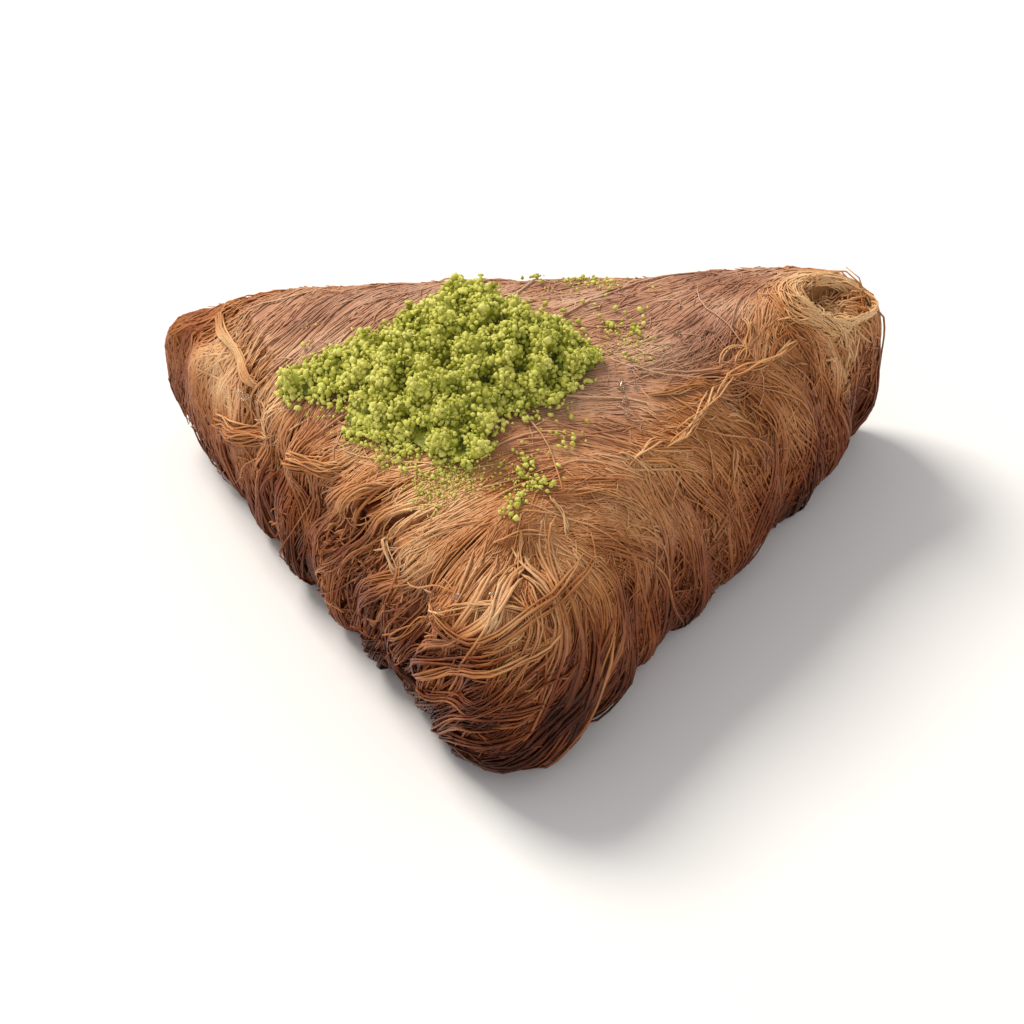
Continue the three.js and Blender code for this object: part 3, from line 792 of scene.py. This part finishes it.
# The tone attribute carries painted shade as well as each thread's bake; see tone_of.
tone = put(threads_material, "ShaderNodeAttribute", {"attribute_name": "tone"}).outputs["Fac"]
warmth = put(threads_material, "ShaderNodeAttribute", {"attribute_name": "warmth"}).outputs["Fac"]
scorch = sized_noise(threads_material, 1.7, 6.0, 0.75)
spotted_tone = put(
    threads_material, "ShaderNodeMath", {"operation": "MULTIPLY_ADD"}, _0=scorch, _1=0.30, _2=tone
).outputs[0]
shade = put(
    threads_material, "ShaderNodeMath", {"operation": "SUBTRACT", "use_clamp": True}, _0=spotted_tone, _1=0.15
).outputs[0]
mauve = ramp(threads_material, shade, [(0, "#3c1a0e"), (0.3, "#875944"), (0.6, "#bd8e76"), (1, "#e8c9ac")])
golden = ramp(threads_material, shade, [(0, "#3b1404"), (0.3, "#88431b"), (0.6, "#c5834b"), (1, "#f0c590")])
link(threads_material, blended(threads_material, warmth, mauve, golden), threads_shader, "Base Color")
fibre = sized_noise(threads_material, 0.35, 2.0)
thread_bump = put(threads_material, "ShaderNodeBump", None, Strength=0.25, Distance=0.12 * MM, Height=fibre)
link(threads_material, thread_bump.outputs["Normal"], threads_shader, "Normal")


def nut_material(name, stops):
    """Raw ground pistachio: matte and slightly oily, yellow-green, darker where the skin clings; the lowest
    kinds are painted shade between grains.
    """
    material, shader = new_material(name, Roughness=0.62, IOR=1.47, Specular_IOR_Level=0.4)
    kind = put(material, "ShaderNodeAttribute", {"attribute_name": "kind"}).outputs["Fac"]
    grain = sized_noise(material, 0.5, 3.0)
    speckled = {"operation": "MULTIPLY_ADD", "use_clamp": True}
    value = put(material, "ShaderNodeMath", speckled, _0=grain, _1=0.35, _2=kind).outputs[0]
    link(material, ramp(material, value, stops), shader, "Base Color")
    bump = put(material, "ShaderNodeBump", None, Strength=0.35, Distance=0.15 * MM, Height=grain)
    link(material, bump.outputs["Normal"], shader, "Normal")
    return material


# The darkest stop serves the painted shade of the heap's core and of the low grains.
PISTACHIO = [(0.1, "#3f4e0d"), (0.38, "#949628"), (0.62, "#c0bf4e"), (0.95, "#d9d570")]
nuts_material = nut_material("ground_pistachio", PISTACHIO)

# ---- The core of the pastry ----

pastry_core = soft_copy("pastry", "pastry_core", 0.55, 4)
core_corners, core_facing = corners_of(pastry_core), facing_of(pastry_core)
pressed = smoothstep(core_facing[:, 2], 0.75, 0.95) * (pocket_share(core_corners) > 1.4)
felted = np.maximum(pressed, 0.6 * smoothstep(core_facing[:, 0] - core_facing[:, 1], 0.1, 0.8))
rough = 0.22 * waves(core_corners, 2.6, 31) + 0.15 * waves(core_corners, 1.5, 32)
core_relief = rough * (1 - 0.85 * felted)
core_relief += soft_lumps(core_corners, core_facing) - CORE_INSET * (1 - felted) - PRESSED_CORE_INSET * felted
core_relief -= slit_depth(core_corners, 0.3)
set_corners(pastry_core, core_corners + core_facing * core_relief[:, None] + mouth_fill(core_corners))
smooth(pastry_core)
# The core shows only between the threads, so it is darker than they are: painted shade in those gaps, deepest
# in the slits.
shaded_core_tones = tone_of(core_corners, -0.16 + 0.12 * felted)
shaded_core_tones -= 0.3 * slit_depth(core_corners, 0.2)
# painted light in the hollow of the roll's open end, which is made lighter
shaded_core_tones[pocket_share(core_corners) < MOUTH_ROOM] += 0.1
carry(pastry_core, "tone", np.clip(shaded_core_tones, 0, 1))
carry(pastry_core, "warmth", warmth_of(core_corners, 0.1))
pastry_core.data.materials.append(threads_material)
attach(pastry_core, BODY)
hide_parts("pastry")

# ---- Threads ----

heap_low, heap_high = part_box("nut_heap")
HEAP_MIDDLE = np.array([(heap_low.x + heap_high.x) / 2, (heap_low.y + heap_high.y) / 2]) / MM
HEAP_HALF = np.array([heap_high.x - heap_low.x, heap_high.y - heap_low.y]) / 2 / MM


def under_heap(places):
    return (((places[:, :2] - HEAP_MIDDLE) / (HEAP_HALF * UNDER_HEAP)) ** 2).sum(1) < 1


def everywhere(places, facing):
    return (facing[:, 2] > FOOT_FACING) & ~under_heap(places) & ~on_ear_side(places)


def on_top(places, facing):
    return (facing[:, 2] > TOP_FACING) & ~under_heap(places) & ~on_ear_side(places)


def front_top(places, facing):
    return on_top(places, facing) & (places[:, 1] < -8) & (places[:, 0] > -14)


def sloping(facing, most=FLANK_FACING):
    """Where the surface is neither the top nor the foot."""
    return (facing[:, 2] > FLANK_LOWEST) & (facing[:, 2] < most)


def right_flank(places, facing):
    return sloping(facing, SHOULDER_FACING) & (facing[:, 0] > -0.1) & (facing[:, 1] < 0.6)


def left_flank(places, facing):
    return sloping(facing) & (facing[:, 0] < -0.1) & (facing[:, 1] < 0.3)


def low_left_flank(places, facing):
    return left_flank(places, facing) & (places[:, 2] > 7) & (places[:, 2] < 21) & (places[:, 1] < 11)


def back_flank(places, facing):
    return sloping(facing) & (facing[:, 1] > 0.2)


def on_ear(places, facing):
    return on_ear_side(places) & (places[:, 2] > 9) & (facing[:, 2] > -0.3)


def on_knob(places, facing):
    near = np.linalg.norm(places[:, :2] - KNOB_AT, axis=1) < KNOB_RADIUS
    return near & sloping(facing, TOP_FACING)


def in_pocket(places, facing):
    return (pocket_share(places) < 1.15) & (places[:, 2] > 19.5)


def underneath(places, facing):
    return facing[:, 2] < FOOT_FACING


def fuzzy(places, facing):
    """Where short fibres stand: mostly on the right flank, fewer on the others, and few on the top."""
    right = (facing[:, 0] > 0.1) & (facing[:, 1] < 0.5)
    share = np.where(facing[:, 2] > SHOULDER_FACING, 0.12, np.where(right, 1.0, 0.35))
    return (facing[:, 2] > -0.3) & (random.random(len(places)) < share) & ~under_heap(places)


def unrest(count, usual, wild_share, wild):
    """How far each thread's run is turned from its neighbours': a little, and a few a lot."""
    turned = random.normal(0, usual, count)
    odd = random.random(count) < wild_share
    return np.where(odd, random.normal(0, wild, count), turned)


def single_threads(name, wanted, count, usual, wild_share, wild, height, dip, points=POINTS, **looks):
    """Separate threads over a region, at heights between a lowest and a highest, whose ends dip in.

    The wild share of them are turned from their neighbours by about wild radians, the others by usual.
    """
    places, facing = pick_places(count, wanted)
    lines, ups = lay_lines(places, facing, points, unrest(count, usual, wild_share, wild), 0.14)
    if wanted not in (on_ear, underneath):
        keep = clear(lines)
        lines, ups = lines[keep], ups[keep]
    base = random.uniform(*height, len(lines))
    return thread_piece(name, tucked(lines, ups, base, dip), ups, **looks)


def bundle_piece(
    name, wanted, bundles, threads, width, depth, tone,
    base=0.0, usual=0.1, wild=0.1, splay=0.5, dive=0.0, spread=0.045, **looks,
):
    """Bundles of threads laid over one region, which dive into the surface where they reach the top.

    Their width and depth are in mm, and they splay at their ends. The wild share of them run askew.
    """
    places, facing = pick_apart(bundles, wanted)
    middle_lines, middle_ups = lay_lines(places, facing, POINTS + 2, unrest(bundles, usual, wild, 0.5), 0.14)
    widths = width * random.uniform(0.6, 1.35, bundles)
    line, up, ids = bundled(middle_lines, middle_ups, threads, widths, depth, 0.7, splay)
    lift = (base + random.uniform(-0.3, 0.35, bundles) * depth)[ids]
    line = tucked(line, up, lift, random.uniform(0.3, 0.9, len(line)))
    line = line - up * (dive * smoothstep(up[..., 2], 0.5, 0.85))[..., None]
    free = clear(line)
    tones = (tone + random.normal(0, spread, bundles)[ids])[free]
    return thread_piece(name, line[free], up[free], tone=tones, spread=spread, **looks)


def round_mouth(turns, swell):
    """Places round the middle of the roll's open end, at a share of its own size."""
    front = np.clip(-np.sin(turns), 0, 1)
    a = POCKET_SIZE[0] * swell * np.cos(turns)
    b = POCKET_SIZE[1] * swell * np.sin(turns) * (1 - 0.24 * front)
    x = POCKET_AT[0] + a * math.cos(POCKET_TURNED) - b * math.sin(POCKET_TURNED)
    y = POCKET_AT[1] + a * math.sin(POCKET_TURNED) + b * math.cos(POCKET_TURNED)
    return np.stack([x, y, np.full_like(x, RIM_START)], axis=-1)


def rim_height(turns):
    """How high the rim of the mouth stands in each direction."""
    heights = np.full(RIM_DIRECTIONS, RIM_LOWEST)
    for i, turn in enumerate(np.arange(RIM_DIRECTIONS) * 2 * math.pi / RIM_DIRECTIONS):
        for x, y, z in round_mouth(np.full(10, turn), np.linspace(0.8, 1.7, 10)):
            hit = guide_tree.ray_cast(Vector((x, y, z + 20)), Vector((0, 0, -1)))[0]
            if hit is not None:
                heights[i] = max(heights[i], hit.z)
    for _ in range(3):
        heights = (np.roll(heights, 1) + heights + np.roll(heights, -1)) / 3
    share = (turns / (2 * math.pi)) % 1 * RIM_DIRECTIONS
    return np.interp(share, np.arange(RIM_DIRECTIONS + 1), np.append(heights, heights[0]))


def laid_over(path, points):
    """A line over the surface through the places given, and the way that the surface faces along it."""
    path = np.array(path, float)
    spread = np.linspace(0, len(path) - 1, points)
    places = np.stack([np.interp(spread, np.arange(len(path)), path[:, i]) for i in range(3)], axis=1)
    for _ in range(3):
        places[1:-1] = (places[:-2] + 2 * places[1:-1] + places[2:]) / 4
    return on_guide(places)


def strand_piece(name, strands, twist, lift, thickness, dip):
    """Strands through given places, each of a few threads side by side."""
    laid = [laid_over(path, STRAND_POINTS + 3) for path, _, _, _ in strands]
    lines, ups = np.array([p for p, _ in laid]), np.array([u for _, u in laid])
    numbers = [number for _, number, _, _ in strands]
    widths = np.array([width for _, _, width, _ in strands])
    line, up, ids = bundled(lines, ups, numbers, widths, thickness, twist, 0.5, STRAND_POINTS)
    sway = 0.22 * waves(line + 40 * random.normal(size=(len(line), 1, 3)), 5, 61)
    line = line + np.cross(up, along(line)) * sway[..., None]
    pale = np.array([p for _, _, _, p in strands])[ids]
    line = tucked(line, up, lift, dip, 0.2)
    return thread_piece(name, line, up, tone=pale, warmth=0.45, spread=0.06, thickness=0.68)


# Single threads that cover the core, and over them those that are pressed flat on the top.
single_threads(
    "under_threads", everywhere, 900, usual=0.14, wild_share=0.18, wild=0.5, height=(-0.55, -0.2), dip=0.5,
    tone=-0.03, thickness=1.3,
)
single_threads(
    "pressed_threads", on_top, 2200, usual=0.07, wild_share=0.04, wild=0.3, height=(-0.04, 0.07), dip=0.2,
    points=12, thickness=0.6, flat=0.45, spread=0.035,
)

bundle_piece(
    "front_threads", front_top, bundles=32, threads=13, width=1.4, depth=0.14, tone=0.02,
    thickness=0.65, dive=0.2, spread=0.04,
)
bundle_piece(
    "right_threads", right_flank, bundles=96, threads=16, width=1.6, depth=0.3, tone=0.0,
    usual=0.22, wild=0.2, dive=0.25, thickness=0.72,
)
bundle_piece(
    "left_threads", left_flank, bundles=60, threads=13, width=1.1, depth=0.5, tone=0.0,
    usual=0.13, splay=0.2, dive=0.9, thickness=0.75,
)
bundle_piece(
    "back_threads", back_flank, bundles=46, threads=14, width=1.3, depth=0.4, tone=-0.02,
    base=-0.1, dive=0.9,
)
bundle_piece(
    "knob_threads", on_knob, bundles=36, threads=13, width=0.75, depth=0.9, tone=0.05,
    base=0.15, usual=0.25, wild=0.3, spread=0.08,
)

strand_piece("fold_rolls", ROLLS, twist=1.3, lift=0.35, thickness=0.75, dip=0.9)
strands = [(path, number, 0.055 * number + 0.1, pale) for path, number, pale in STRANDS]
strand_piece("loose_strands", strands, twist=0.8, lift=0.4, thickness=0.35, dip=0.8)

# The edge of the last layer: a straight, pale ridge of threads across the left ear.
edge, edge_up = laid_over([(x, y, FLAP_HEIGHT) for x, y in FLAP_EDGE], 20)
line, up, _ = bundled(
    edge[None], edge_up[None],
    threads=44, width=np.array([0.62]), thickness=0.3, twist=0.1, splay=0.1, points=18,
)
line = tucked(line, up, 0.35, 1.0, 0.12)
thread_piece("flap_edge", line, up, tone=0.12, warmth=0.1, spread=0.03, thickness=0.7)

# The felted lower layer that shows beyond the flap, at the left corner.
single_threads(
    "ear_threads", on_ear, 1250, usual=0.2, wild_share=0.2, wild=0.8, height=(-0.35, 0.12), dip=0.4,
    points=7, tone=0.03, thickness=0.7, spread=0.05,
)

# The rim round the open end of the roll, wound of threads. Each drifts in or out a little as it goes round.
count = RIM_THREADS
turns = random.uniform(0, 2 * math.pi, count)[:, None]
turns = turns + np.linspace(0, 1, POINTS) * random.uniform(0.5, 1.6, count)[:, None]
swell = random.uniform(1.12, 2.3, count)[:, None]
swell = swell + 0.08 * np.sin(turns * 2 + random.uniform(0, 7, count)[:, None])
swell = np.maximum(swell + random.normal(0, 0.13, count)[:, None] * np.linspace(-1, 1, POINTS), 1.05)
ring = round_mouth(turns, swell)
ring[..., 2] = rim_height(turns) - 1.6 * np.maximum(0, swell - RIM_SHARE) - 4 * np.maximum(0, 1.25 - swell)
spots, facing = on_guide(ring.reshape(-1, 3))
spots, facing = spots.reshape(ring.shape), facing.reshape(ring.shape)
lying = smoothstep(swell, 1.25, 1.6)[..., None]
ring = ring * (1 - lying) + spots * lying
ring_up = unit(facing * lying + (0, 0, 1) * (1 - lying) + (0, 0, 0.2))
crest = 1 - smoothstep(swell, 1.3, 2.0)
curl = 0.35 + 0.85 * np.clip(-np.sin(turns), 0, 1)
uneven = 0.14 * waves(ring + 40 * random.normal(size=(count, 1, 3)), 4, 62)
ring = ring + ring_up * (random.uniform(-0.4, 0.2, count)[:, None] + curl * crest + uneven)[..., None]
# The crest of the rim is paler: painted light along the lip of the open end.
rim_tone = 0.10 + 0.20 * crest.mean(1)
even = (np.linalg.norm(np.diff(ring, axis=1), axis=2) > SHORTEST_STRETCH).all(1)
ring, ring_up, rim_tone = tucked(ring, ring_up, 0.0, 0.4)[even], ring_up[even], rim_tone[even]
thread_piece("roll_rim", ring, ring_up, tone=rim_tone, warmth=0.4, spread=0.06, thickness=0.62)

# The threads on the walls inside it.
places, facing = pick_places(MOUTH_THREADS, in_pocket)
lines, ups = lay_lines(places, facing, 5, unrest(len(places), 0.6, 0.3, 1.2), 0.14)
lines = lines[:, 2:3] + (lines - lines[:, 2:3]) * random.uniform(0.2, 0.5, (len(lines), 1, 1))
lines = lines + ups * random.uniform(0.0, 1.6, (len(lines), 1, 1)) * random.random((len(lines), 1, 1))
low_enough = (lines[..., 2] < MOUTH_HIGHEST).all(1)
thread_piece("roll_inside", lines[low_enough], ups[low_enough], thickness=0.65, tone=0.06, warmth=0.7)

# Cut ends of threads that stick out from the left flank, under the flap.
seeds, seeds_up = pick_places(CUT_ENDS, low_left_flank)
out = unit(seeds_up + 0.6 * random.normal(size=seeds.shape) + (-0.25, -0.3, -0.1))
reach = random.uniform(1.4, 3.0, len(seeds))
travel = np.linspace(0, 1, 6)
line = seeds[:, None] - out[:, None] * 1.2 + out[:, None] * (reach[:, None] * travel)[..., None]
line = line - (0, 0, 1) * (travel**2 * random.uniform(0.0, 1.2, len(seeds))[:, None])[..., None]
line = line + 0.12 * random.normal(size=line.shape).cumsum(1)
side_up = np.broadcast_to(unit(np.cross(out, (0.3, 0.2, 1.0)))[:, None], line.shape)
thread_piece("cut_ends", line, side_up, tone=0.16, thickness=0.7)

# Loose threads that have come away from the bundles and lie in free curves over them.
seeds, seeds_up = pick_places(LOOSE_THREADS, everywhere)
lines, ups = lay_lines(seeds, seeds_up, POINTS, unrest(len(seeds), 0.30, 0.3, 0.9), 0.35)
keep = clear(lines)
lines, ups = lines[keep], ups[keep]
arch = np.sin(np.linspace(0, math.pi, POINTS)) * random.uniform(0.0, 0.4, len(lines))[:, None]
lines = lines + ups * arch[..., None]
thread_piece("loose_threads", tucked(lines, ups, 0.1, 0.6), ups, thickness=0.65, tone=0.10)

# Short fine fibres that make the flanks and shoulders felt-like.
seeds, seeds_up = pick_places(SHORT_FIBRES, fuzzy)
lines, ups = lay_lines(seeds, seeds_up, 4, unrest(len(seeds), 0.45, 0.3, 1.2), 0.5)
middle = lines[:, 1:2]
lines = middle + (lines - middle) * random.uniform(0.3, 0.75, (len(seeds), 1, 1))
rise = np.linspace(-0.25, 0.22, 4) * random.uniform(0.4, 1.4, (len(seeds), 1)) + 0.1
keep = clear(lines)
thread_piece("short_fibres", (lines + ups * rise[..., None])[keep], ups[keep], thickness=0.5, tone=0.06)

# The threads of the foot, pressed flat where the pastry stands.
single_threads(
    "foot_threads", underneath, 640, usual=0.12, wild_share=0.2, wild=0.6, height=(-0.45, -0.1), dip=0.2,
    points=12, tone=0.05, thickness=1.3,
)

# ---- Drops of syrup that have not soaked in: small clear domes that catch the light ----

syrup_material, _ = new_material(
    "clear_sugar_syrup", Base_Color=linear("#f4d9b4"), Roughness=0.03, IOR=1.48, Transmission_Weight=0.85,
)
deselect()
bpy.ops.mesh.primitive_uv_sphere_add(segments=20, ring_count=12, radius=1)
dome = bpy.context.active_object
dome_corners = corners_of(dome) * MM
dome_faces = [
    np.array([p.vertices[:] for p in dome.data.polygons if len(p.vertices) == size]) for size in (3, 4)
]
bpy.data.objects.remove(dome)
spots, facing = on_guide(np.array([place for place, *_ in DROPS]))
drops, drop_faces = [], []
for spot, up, (_, long, wide, heading) in zip(spots, facing, DROPS):
    heading = math.radians(heading)
    ahead = unit(np.cross(np.cross(up, (math.cos(heading), math.sin(heading), 0)), up))
    uneven = 1 + 0.12 * waves(dome_corners + spot, 1.3, 71)
    shape = dome_corners * (DROP_SPREAD * long, DROP_SPREAD * wide, DROP_HEIGHT) * uneven[:, None]
    axes = np.stack([ahead, np.cross(up, ahead), up])
    drop_faces.append([faces + len(drops) * len(dome_corners) for faces in dome_faces])
    drops.append(spot + up * DROP_LIFT + shape @ axes)
drops_piece = mesh_from("syrup_drops", np.concatenate(drops), [f for pair in drop_faces for f in pair], {})
drops_piece.data.materials.append(syrup_material)
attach(drops_piece, BODY)

# ---- The nuts ----

heap_core = soft_copy("nut_heap", "nut_core", 0.4, 3)
heap_corners, heap_facing = corners_of(heap_core), facing_of(heap_core)
clumps = 0.95 * waves(heap_corners, 3.0, 41) + 0.4 * waves(heap_corners, 1.4, 42)
upwards = smoothstep(heap_facing[:, 2], -0.2, 0.3)
set_corners(heap_core, heap_corners + heap_facing * ((clumps - 0.65) * upwards)[:, None])
smooth(heap_core)
# The core shows only between the grains: its low kind is painted shade in those gaps, darker in the hollows
# between clumps.
core_shade_and_kind = np.clip(0.2 + 0.2 * clumps + random.normal(0, 0.05, len(heap_corners)), 0, 1)
carry(heap_core, "kind", core_shade_and_kind)
heap_core.data.materials.append(nuts_material)
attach(heap_core, BODY)
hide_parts("nut_heap")


def grain_shape():
    """The corners and faces of the round start of a grain, at radius 1."""
    deselect()
    bpy.ops.mesh.primitive_ico_sphere_add(subdivisions=1, radius=1)
    ball = bpy.context.active_object
    corners = np.array([v.co[:] for v in ball.data.vertices])
    faces = np.array([p.vertices[:] for p in ball.data.polygons])
    bpy.data.objects.remove(ball)
    return corners, faces


def scattered(groups, gathered):
    """Places above the top for groups of crumbs, which lie closest together in the middle of each."""
    flat = [(x, y) + random.normal(0, wide / gathered, (number, 2)) for x, y, wide, number in groups]
    flat = np.concatenate(flat)
    return np.concatenate([flat, np.full((len(flat), 1), ABOVE_THE_TOP)], axis=1)


def broken_grains(name, places, sizes, kinds_light_and_shade):
    """Irregular crumbs of nut: each is a lump whose sides have been broken off flat."""
    corners, faces = grain_shape()
    count = len(places)
    shape = np.repeat(corners[None], count, axis=0)
    shape *= 1 + random.normal(0, 0.13, shape.shape[:2])[..., None]
    for _ in range(3):
        way = unit(random.normal(size=(count, 1, 3)))
        beyond = (shape * way).sum(2, keepdims=True) - random.uniform(0.4, 0.8, (count, 1, 1))
        shape -= np.maximum(beyond, 0) * way
    shape *= random.uniform(0.6, 1.35, (count, 1, 3))
    turn = np.linalg.qr(random.normal(size=(count, 3, 3)))[0]
    turn *= np.sign(np.linalg.det(turn))[:, None, None]
    shape = np.einsum("nij,nkj->nki", turn, shape) * sizes[:, None, None]
    everything = (places[:, None] + shape).reshape(-1, 3)
    faces = (faces[None] + (np.arange(count) * len(corners))[:, None, None]).reshape(-1, 3)
    piece = mesh_from(name, everything, [faces], {"kind": np.repeat(kinds_light_and_shade, len(corners))}, False)
    piece.data.materials.append(nuts_material)
    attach(piece, BODY)
    return piece


heap_surface = corners_of(heap_core)
upper = np.flatnonzero(heap_facing[:, 2] > -0.1)
chosen = np.concatenate([random.permutation(upper), random.choice(upper, 7000)])[:NUT_GRAINS]
sizes = random.gamma(7, 0.042, len(chosen)).clip(0.14, 0.48)
above = random.uniform(-0.1, 0.6, len(chosen))
# Painted shade: grains that stand lower, and those in the hollows between clumps, are darker.
kinds_light_and_shade = random.normal(0.43, 0.2, len(chosen)) + 0.35 * (above - 0.25) + 0.15 * clumps[chosen]
spots = heap_surface[chosen] + heap_facing[chosen] * above[:, None] + random.normal(0, 0.15, (len(chosen), 3))
# Painted light: the heap's left arm, on the side towards the light, is lighter.
kinds_light_and_shade += 0.1 * smoothstep(-spots[:, 0], 8, 18)
broken_grains("nut_grains", spots, sizes, kinds_light_and_shade.clip(0, 0.9))

# Crumbs that have rolled off: round the heap's edge, and in small groups farther off.
rim = np.flatnonzero((heap_facing[:, 2] < 0.25) & (heap_facing[:, 2] > -0.4))
rim = random.choice(rim, ROLLED_CRUMBS)
outwards = unit(heap_facing[rim] * (1, 1, 0))
rolled = heap_corners[rim] + outwards * random.gamma(1.6, 0.6, len(rim))[:, None]
spots, facing = on_guide(np.concatenate([rolled, scattered(SPILLED, 1.6)]))
flat_enough = (facing[:, 2] > TOP_FACING) & ~on_ear_side(spots)
spots = (spots + facing * 0.62)[flat_enough]
sizes = random.gamma(7, 0.038, len(spots)).clip(0.13, 0.4)
broken_grains("nut_crumbs", spots, sizes, np.clip(random.normal(0.58, 0.16, len(spots)), 0, 0.95))

# Dust of the nuts, stuck to the syrup below the heap.
spots, facing = on_guide(scattered(DUST, 1.8))
flat_enough = (facing[:, 2] > 0.65) & ~on_ear_side(spots)
spots = (spots + facing * random.uniform(0.1, 0.3, (len(spots), 1)))[flat_enough]
sizes = random.gamma(6, 0.022, len(spots)).clip(0.07, 0.2)
broken_grains("nut_dust", spots, sizes, np.clip(random.normal(0.66, 0.12, len(spots)), 0, 0.95))

# ---- Stage, light and camera ----


def stage_floor():
    """A plain pale floor under the piece."""
    deselect()
    bpy.ops.mesh.primitive_plane_add(size=4, location=(0, 0, 0))
    floor = bpy.context.active_object
    floor.name = "floor"
    material, _ = new_material("pale_matte_floor", Base_Color=linear("#f3f2f1"), Roughness=0.7)
    floor.data.materials.append(material)


def softbox(name, place, size, power, colour="#ffffff"):
    """A square soft light that points at the pastry."""
    lamp = bpy.data.lights.new(name, "AREA")
    lamp.energy, lamp.size, lamp.color = power, size, linear(colour)[:3]
    holder = bpy.data.objects.new(name, lamp)
    bpy.context.scene.collection.objects.link(holder)
    holder.location = place
    holder.rotation_euler = (Vector((0, 0, 0.015)) - Vector(place)).to_track_quat("-Z", "Y").to_euler()


stage_floor()
softbox("window_light", place=(-0.55, 0.5, 0.85), size=0.5, power=13.0, colour="#fff8ee")
softbox("front_fill", place=(0.3, -0.8, 0.5), size=0.9, power=1.6)

world = bpy.data.worlds.new("studio")
world.use_nodes = True
world.node_tree.nodes["Background"].inputs["Color"].default_value = linear("#ffffff")
world.node_tree.nodes["Background"].inputs["Strength"].default_value = 0.5
bpy.context.scene.world = world
bpy.context.scene.view_settings.view_transform = "Standard"

CAMERA_DISTANCE = 0.85
CAMERA_RISE = math.radians(42.8)
CAMERA_TURN = math.radians(4.2)
CAMERA_ROLL = math.radians(2.1)
CAMERA_TARGET = Vector((0.0, 0.0, 0.013))
FRAME_SHARE = 0.72  # share of the view's width that the pastry takes

camera_data = bpy.data.cameras.new("camera")
pastry_low, pastry_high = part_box("pastry")
seen_width = (pastry_high.x - pastry_low.x) / FRAME_SHARE
camera_data.lens = camera_data.sensor_width * CAMERA_DISTANCE / seen_width
camera = bpy.data.objects.new("camera", camera_data)
bpy.context.scene.collection.objects.link(camera)
level = CAMERA_DISTANCE * math.cos(CAMERA_RISE)
camera.location = CAMERA_TARGET + Vector(
    (level * math.sin(CAMERA_TURN), -level * math.cos(CAMERA_TURN), CAMERA_DISTANCE * math.sin(CAMERA_RISE))
)
look = (CAMERA_TARGET - camera.location).to_track_quat("-Z", "Y")
camera.rotation_euler = (look @ Quaternion((0, 0, 1), -CAMERA_ROLL)).to_euler()
bpy.context.scene.camera = camera

# ---- Finish ----

bpy.data.objects.remove(guide)
